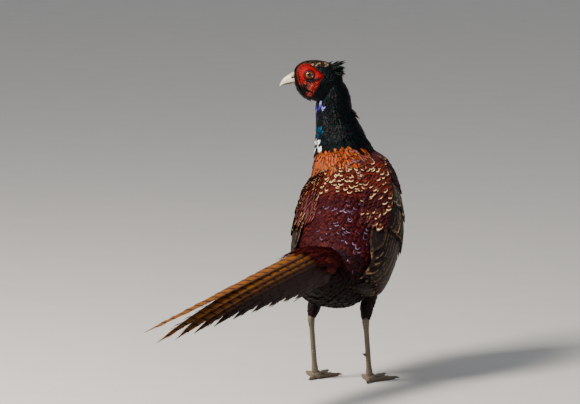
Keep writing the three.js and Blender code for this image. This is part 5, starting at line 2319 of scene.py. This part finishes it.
@dataclass
class Bill:
    """Both halves of the horny bill, with the nostrils under their flaps."""

    mouth: Table = (
        (9, -9.2), (18, -9.9), (24, -11), (29, -12.2), (33.6, -13.7), (36.6, -15.2), (38.4, -16.9),
    )
    gap: float = 0.55
    upper: Table = (
        (12, 0, 0), (13.5, 13, 6.4), (19, 12.6, 6.1), (24, 10.6, 5.1), (29, 9, 4),
        (33.6, 6.6, 2.8), (36.6, 3.3, 1.7), (38.1, 0.9, 0.6), (38.4, 0, 0),
    )
    lower: Table = (
        (9, 0, 0), (11, -3.6, 4.8), (18, -3.3, 4.8), (24, -2.6, 3.9),
        (29, -1.9, 2.9), (33, -1.2, 1.8), (35.2, 0, 0),
    )
    nostril: tuple[Numbers, Numbers] = ((21.6, 5, -4.9), (2.6, 1.6, 0.7))
    flap: tuple[Numbers, Numbers] = ((21.2, 3.5, -1.9), (3.3, 2.2, 2.7))

    def half(self, name: str, rows: Table, drop: float) -> Piece:
        """One half: flat along the mouth, round on its other side.

        Args:
            name: Its name.
            rows: How far forward, how high and how wide each section is.
            drop: How far it hangs below the mouth's line.

        Returns:
            The piece.
        """
        sections = Curve(np.array(rows, float))

        def surface(along: Array, angle: Array) -> Array:
            """A point of the half.

            Args:
                along: Share of its length.
                angle: Angle round the form.

            Returns:
                The point.
            """
            forward, ridge, width = sections.at(along).T
            rise = np.sin(angle) * np.where(ridge < 0, -1, 1)
            height = np.where(rise > 0, ridge * np.abs(rise) ** 0.85, 0)
            side = np.maximum(width, 0) * np.cos(angle) * (1 - 0.25 * np.maximum(rise, 0))
            return HEAD.place(forward, side, eased_rows(self.mouth, forward, 1) - drop + height)

        return loft(name, 64, 64, surface)

    def lump(self, side: int, spot: Numbers, size: Numbers) -> Piece:
        """A small ellipsoid on one side of the bill, from its centre on the head and its radii."""
        return ellipsoid("lump", 24, 16, HEAD.place, (spot[0], side * spot[1], spot[2]), size)

    def build(self, finishes: Finishes) -> None:
        """Makes both halves and paints the duller base, and painted shade in the nostrils.

        Args:
            finishes: The materials.
        """
        top = self.half("bill_horn_upper", self.upper, 0)
        for side in (1, -1):
            combine(top, self.lump(side, *self.flap), "UNION")
        for side in (1, -1):
            combine(top, self.lump(side, *self.nostril), "DIFFERENCE")
        face_outwards(top)
        bottom = self.half("bill_horn_lower", self.lower, self.gap)
        for piece, node in ((top, "bill_upper"), (bottom, "bill_lower")):
            forward, left, up = head_frame(from_frame(vertices(piece)))
            # The lower half is darker: painted shade under the bill.
            tip = Hue.BILL if piece is top else Hue.BILL_UNDER
            colour = tinted(tip, Hue.BILL_BASE, 1 - ease(forward, 17, 26))
            spot, size = np.array(self.nostril)
            away = np.linalg.norm((np.stack([forward, np.abs(left), up], axis=1) - spot) / size, axis=1)
            # Painted shade: the nostril openings are darkened to near black.
            nostril_shade = 1 - ease(away, 1.02, 1.35)
            add_trait(piece.data, "Marking", tinted(colour, Hue.CLAW_TIP, nostril_shade))
            finish(piece, Slot.BILL, finishes.bill, (node,))


# Legs


@dataclass(frozen=True)
class Toe:
    """A toe: its angle outwards from straight ahead, its length, its radius at the root, and its claw."""

    name: str
    turn: float
    length: float
    radius: float
    claw: float


@dataclass
class Thigh:
    """The feathered thigh from the belly to the hock."""

    side: int
    top: Triple = (-22, 31, 150)
    hock: Triple = (-62, 37, 80)
    rows: Rows = Rows((0.94, 0.02), 4.6, 5, 15, 4.6, 3, 0.5)
    vane: Vane = Vane(4, 4)

    def form(self) -> Limb:
        """The thigh's form, from the belly down.

        Returns:
            The form.
        """

        def reach(along: Array, angle: Array) -> tuple[Array, Array]:
            """How far the thigh reaches to the side and to the front."""
            girth = between(34, 8, np.clip(along, 0, 1) ** 0.65) * rounded(along, 10)
            return girth * 0.66, girth

        forward, left, up = self.top
        end = at(self.hock[0], self.side * self.hock[1], self.hock[2])
        return Limb(at(forward, self.side * left, up), end, reach)

    def build(self, skin: Skin, finishes: Finishes) -> list[Tract]:
        """Makes the thigh's feathers, which point down the leg.

        Args:
            skin: The skin, which hides some of the roots.
            finishes: The materials.

        Returns:
            The tract, in a list.
        """
        name = side_name(self.side)
        rng = np.random.default_rng(100 + self.side)
        form = self.form()

        def surface(above: Array, angle: Array, lift: Array) -> Array:
            """A point of the thigh, counted from the hock up."""
            return form.at(1 - np.asarray(above), angle, lift)

        spots = self.rows.spots(surface, rng)
        spots = spots[skin.outside(surface, spots, 0.4)]
        looks = [Look(Hue.BELLY, edge=Hue.BLACK, edged=0.4), Look(Hue.WINE, edge=Hue.BELLY, edged=0.8)]
        traits = paint(looks, (rng.random(len(spots)) < 0.2).astype(int), rng)
        placed = self.rows.plot(surface, spots, rng)
        tract = Tract(f"thigh_feathers_{name}", surface, self.vane, placed, traits,
                      map_corner=(0.0 if self.side > 0 else 0.31, 0.78), map_size=(0.28, 0.15))
        tract.build(finishes.contour, Slot.THIGH, 104 + self.side)
        return [tract]


@dataclass
class Leg:
    """A bare shank with its spur, the foot flat on the floor, and its claws."""

    side: int
    hock: Pair = (-62, 80)
    foot: Pair = (-44, 9)
    stance: float = 37
    shank: Pair = (3.1, 4.2)
    joints: Table = ((0.08, 1.8), (0.95, 1.6))
    scutes: int = 19
    spur: Triple = (36, 11, 3)
    toes: tuple[Toe, ...] = (
        Toe("inner", -34, 37, 4, 10), Toe("middle", 2, 50, 4.4, 12),
        Toe("outer", 36, 40, 4, 10), Toe("hind", 172, 15, 3.4, 8),
    )
    palm: Triple = (6.4, 7.2, 6.8)
    sole: float = 0.8
    taper: float = 0.35
    toe_plate: float = 3.1
    shank_band: float = 3.9

    def shank_form(self) -> Limb:
        """The shank with overlapping plates down its front.

        Returns:
            The form.
        """

        def reach(along: Array, angle: Array) -> tuple[Array, Array]:
            """How far the shank reaches to the side and to the front.

            Args:
                along: Share of its length.
                angle: Angle round the form.

            Returns:
                Both reaches.
            """
            knob = sum(size * np.exp(-(((along - place) / 0.1) ** 2)) for place, size in self.joints)
            phase = np.mod(along * self.scutes, 1)
            plate = 0.75 * (phase**1.6) * (1 - ease(phase, 0.9, 1)) * np.clip(np.sin(angle), 0, 1) ** 0.5
            behind = np.sin(angle) < 0.2
            small = 0.16 * np.sin(along * self.scutes * 2 * math.pi) * np.cos(angle * 7) * behind
            grow = rounded(along, 14)
            depth = (self.shank[1] + knob + plate + small) * grow
            return (self.shank[0] + 0.8 * knob + 0.5 * plate + small) * grow, depth

        start = at(self.hock[0], self.side * self.stance, self.hock[1] + 8)
        return Limb(start, at(self.foot[0] - 1, self.side * self.stance, self.foot[1] - 3), reach)

    def toe_place(self, toe: Toe, distance: Array, up: Array) -> Array:
        """A point over a toe's own line.

        Args:
            toe: The toe.
            distance: How far from the foot's middle.
            up: How high.

        Returns:
            The point.
        """
        turn = math.radians(toe.turn) * self.side
        left = self.side * self.stance + distance * math.sin(turn)
        return at(self.foot[0] + distance * math.cos(turn), left, up)

    def across(self, toe: Toe) -> Array:
        """The direction across a toe."""
        turn = math.radians(toe.turn) * self.side
        return np.cross(UP, at(math.cos(turn), math.sin(turn), 0))

    def toe_form(self, toe: Toe) -> Piece:
        """A toe with plates on its back and pads under it.

        Args:
            toe: The toe.

        Returns:
            The piece.
        """

        def surface(along: Array, angle: Array) -> Array:
            """A point of the toe.

            Args:
                along: Share of its length.
                angle: Angle round the form.

            Returns:
                The point.
            """
            grow = np.where(along > 0, rounded(0.12 + 0.88 * along, 8), 0)
            radius = toe.radius * (1 - self.taper * along)
            phase = np.mod(along * toe.length / self.toe_plate, 1)
            plate = 0.4 * phase * (1 - ease(phase, 0.85, 1)) * np.clip(np.sin(angle), 0, 1) ** 0.5
            size = (radius * (1 + 0.12 * np.cos(along * math.pi * 6)) + plate) * grow
            height = radius * self.sole + (3 * (1 - along) if toe.name == "hind" else 0)
            middle = self.toe_place(toe, between(-4, toe.length, along), height)
            side = self.across(toe) * (size * np.cos(angle))[:, None]
            return middle + side + UP * (size * np.sin(angle))[:, None]

        return loft("toe_form", 32, round(toe.length * 2.2), surface)

    def spur_form(self) -> Piece:
        """The spur at the back of the shank.

        Returns:
            The piece.
        """
        height, length, radius = self.spur
        share = (height - self.foot[1]) / (self.hock[1] - self.foot[1])
        forward = float(between(self.foot[0], self.hock[0], share))
        start = at(forward - 2, self.side * (self.stance - 1), height)
        end = at(forward - 3 - length, self.side * (self.stance - 4), height + 4)

        def reach(along: Array, angle: Array) -> tuple[Array, Array]:
            """How thick the spur is, the same both ways."""
            size = radius * (1 - along) * np.minimum(1, along * 6)
            return size, size

        return Limb(start, end, reach).loft("spur_form", 20, 20)

    def palm_form(self) -> Piece:
        """The ball of the foot."""
        middle = (self.foot[0], self.side * self.stance, self.palm[2] - 0.8)
        return ellipsoid("palm_form", 32, 20, at, middle, self.palm)

    def claw(self, toe: Toe, name: str, finishes: Finishes) -> None:
        """A claw that follows its toe, arched and blunt.

        Args:
            toe: The toe.
            name: Which side it is.
            finishes: The materials.
        """

        def surface(along: Array, angle: Array) -> Array:
            """A point of the claw.

            Args:
                along: Share of its length.
                angle: Angle round the form.

            Returns:
                The point.
            """
            radius = 2.1 * (1 - 0.9 * along) * np.minimum(1, along * 8) * (along < 1)
            height = toe.radius * (1 - self.taper) * self.sole + 0.6 - 1.3 * along**2
            middle = self.toe_place(toe, toe.length - 3 + toe.claw * along, height)
            keel = radius * np.sin(angle) * (1 + 0.12 * np.clip(np.sin(angle), 0, 1))
            side = self.across(toe) * (0.75 * radius * np.cos(angle))[:, None]
            return middle + side + UP * keel[:, None]

        piece = loft(f"claw_horn_{toe.name}_{name}", 24, 20, surface)
        base = flatten(piece, 0.05) - self.toe_place(toe, toe.length - 3, 0)
        share = ease(np.linalg.norm(base[:, :2], axis=1) / toe.claw, 0.3, 1)
        add_trait(piece.data, "Marking", tinted(Hue.CLAW, Hue.CLAW_TIP, share))
        finish(piece, Slot.CLAW, finishes.claw, (f"claw_{toe.name}_{name}",))

    def build(self, finishes: Finishes) -> None:
        """Melts shank, spur, palm and toes into one piece and adds the claws.

        Args:
            finishes: The materials.
        """
        name = side_name(self.side)
        shank = self.shank_form().loft("shank_form", 40, 180)
        toes = [self.toe_form(toe) for toe in self.toes]
        piece = join(f"leg_{name}", [shank, self.palm_form(), self.spur_form(), *toes])
        remesh(piece, 0.55, 1)
        height = flatten(piece, 0)[:, 2]
        gap = 1 - ease(np.mod((height + 2) / self.shank_band, 1), 0.05, 0.22)
        # Dark lines between the scute bands, and darker towards the floor in the lowest 3 mm.
        dark = np.clip(gap + 0.5 * (1 - ease(height, 0, 3)), 0, 1) * 0.6
        add_trait(piece.data, "Marking", tinted(Hue.LEG, Hue.LEG_DARK, dark))
        finish(piece, Slot.LEG, finishes.leg, (f"shank_{name}", f"foot_{name}"))
        for toe in self.toes:
            self.claw(toe, name, finishes)


# Camera, light and floor


@dataclass(frozen=True)
class Studio:
    """The photo's viewing angle, a soft key light from the upper left and a pale floor."""

    turn: float = 20
    height: float = 8
    distance: float = 8300
    pixel: float = 1.29
    origin: Pair = (354, 375)
    centre: Pair = (290, 202)
    image_width: int = 580
    sensor: float = 36
    far: float = 100
    key_power: float = 120
    fill_power: float = 5
    world: float = 0.36
    floor_size: float = 60

    def axes(self) -> tuple[Array, Array, Array]:
        """The camera's look, right and up.

        Returns:
            Three directions.
        """
        turn, height = math.radians(self.turn), math.radians(self.height)
        level = math.cos(height)
        look = np.array([math.sin(turn) * level, -math.cos(turn) * level, -math.sin(height)])
        right = np.array([-math.cos(turn), -math.sin(turn), 0])
        return look, right, np.cross(right, look)

    def camera(self) -> None:
        """Sets the scene's camera."""
        look, right, up = self.axes()
        across = right * (self.centre[0] - self.origin[0]) + up * (self.origin[1] - self.centre[1])
        eye = across * self.pixel - look * self.distance
        bpy.ops.object.select_all(action="DESELECT")
        bpy.ops.object.camera_add(location=to_frame(eye))
        camera = bpy.context.object
        camera.name = "photo_view"
        camera.rotation_mode = "QUATERNION"
        camera.rotation_quaternion = Vector(look).to_track_quat("-Z", "Y")
        camera.data.sensor_width = self.sensor
        camera.data.lens = self.sensor * self.distance / (self.pixel * self.image_width)
        camera.data.clip_end = self.far
        bpy.context.scene.camera = camera

    def lamp(
        self, name: str, left: float, up: float, near: float, size: float, power: float, colour: int
    ) -> None:
        """Adds a square lamp that looks at the bird.

        Args:
            name: Its name.
            left: How far left of the bird it stands as the camera sees it, in metres.
            up: How far above the bird's middle.
            near: How far towards the camera.
            size: Its side.
            power: Its power in watts.
            colour: Its colour as sRGB.
        """
        look, right, _ = self.axes()
        target = Vector((0, 0, 0.2))
        place = target + Vector(-right * left - look * near) + Vector((0, 0, up))
        bpy.ops.object.select_all(action="DESELECT")
        bpy.ops.object.light_add(type="AREA", location=place)
        lamp = bpy.context.object
        lamp.name = name
        lamp.rotation_mode = "QUATERNION"
        lamp.rotation_quaternion = (target - place).to_track_quat("-Z", "Y")
        lamp.data.size = size
        lamp.data.energy = power
        lamp.data.color = linear(colour)[:3]

    def build(self) -> None:
        """Sets camera, lamps, world and floor."""
        self.camera()
        self.lamp("key_lamp", 1.5, 1.5, 0.8, 0.7, self.key_power, 0xFFF6EC)
        self.lamp("fill_lamp", -1.6, 0.5, 1.2, 1.6, self.fill_power, 0xEAF1FF)
        world = bpy.data.worlds.new("pale_studio")
        world.use_nodes = True
        background = world.node_tree.nodes["Background"]
        background.inputs["Color"].default_value = linear(0xE9EDF2)
        background.inputs["Strength"].default_value = self.world
        bpy.context.scene.world = world
        bpy.ops.object.select_all(action="DESELECT")
        bpy.ops.mesh.primitive_plane_add(size=self.floor_size, location=(0, 0, 0))
        floor = bpy.context.object
        floor.name = "floor"
        floor.data.materials.append(FloorFinish().build())
        floor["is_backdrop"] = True


def write_size() -> None:
    """Writes the solids' box and the finished model's."""
    boxes = {"cad": CAD_BOUNDS, "visual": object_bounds()}
    plain = {key: [[float(x) for x in corner] for corner in box] for key, box in boxes.items()}
    log.info("solids %s", plain["cad"])
    log.info("visual %s", plain["visual"])


def main() -> None:
    """Builds the bird from the skin outwards."""
    logging.basicConfig(level=logging.INFO, format="%(message)s")
    finishes = Finishes()
    thighs, wings, tail = [Thigh(1), Thigh(-1)], [Wing(1), Wing(-1)], Tail()
    skin = Skin()
    skin.build(thighs, wings, tail)
    tracts = TrunkCoat().build(skin, finishes)
    tracts += HeadCoat().build(skin, Face(1), finishes)
    for part in (*wings, tail):
        tracts += part.build(finishes)
    for thigh in thighs:
        tracts += thigh.build(skin, finishes)
    skin.dress(tracts, finishes)
    for side in (1, -1):
        Face(side).build(finishes)
        Leg(side).build(finishes)
    Bill().build(finishes)
    Studio().build()
    write_size()


if __name__ == "__main__":
    main()
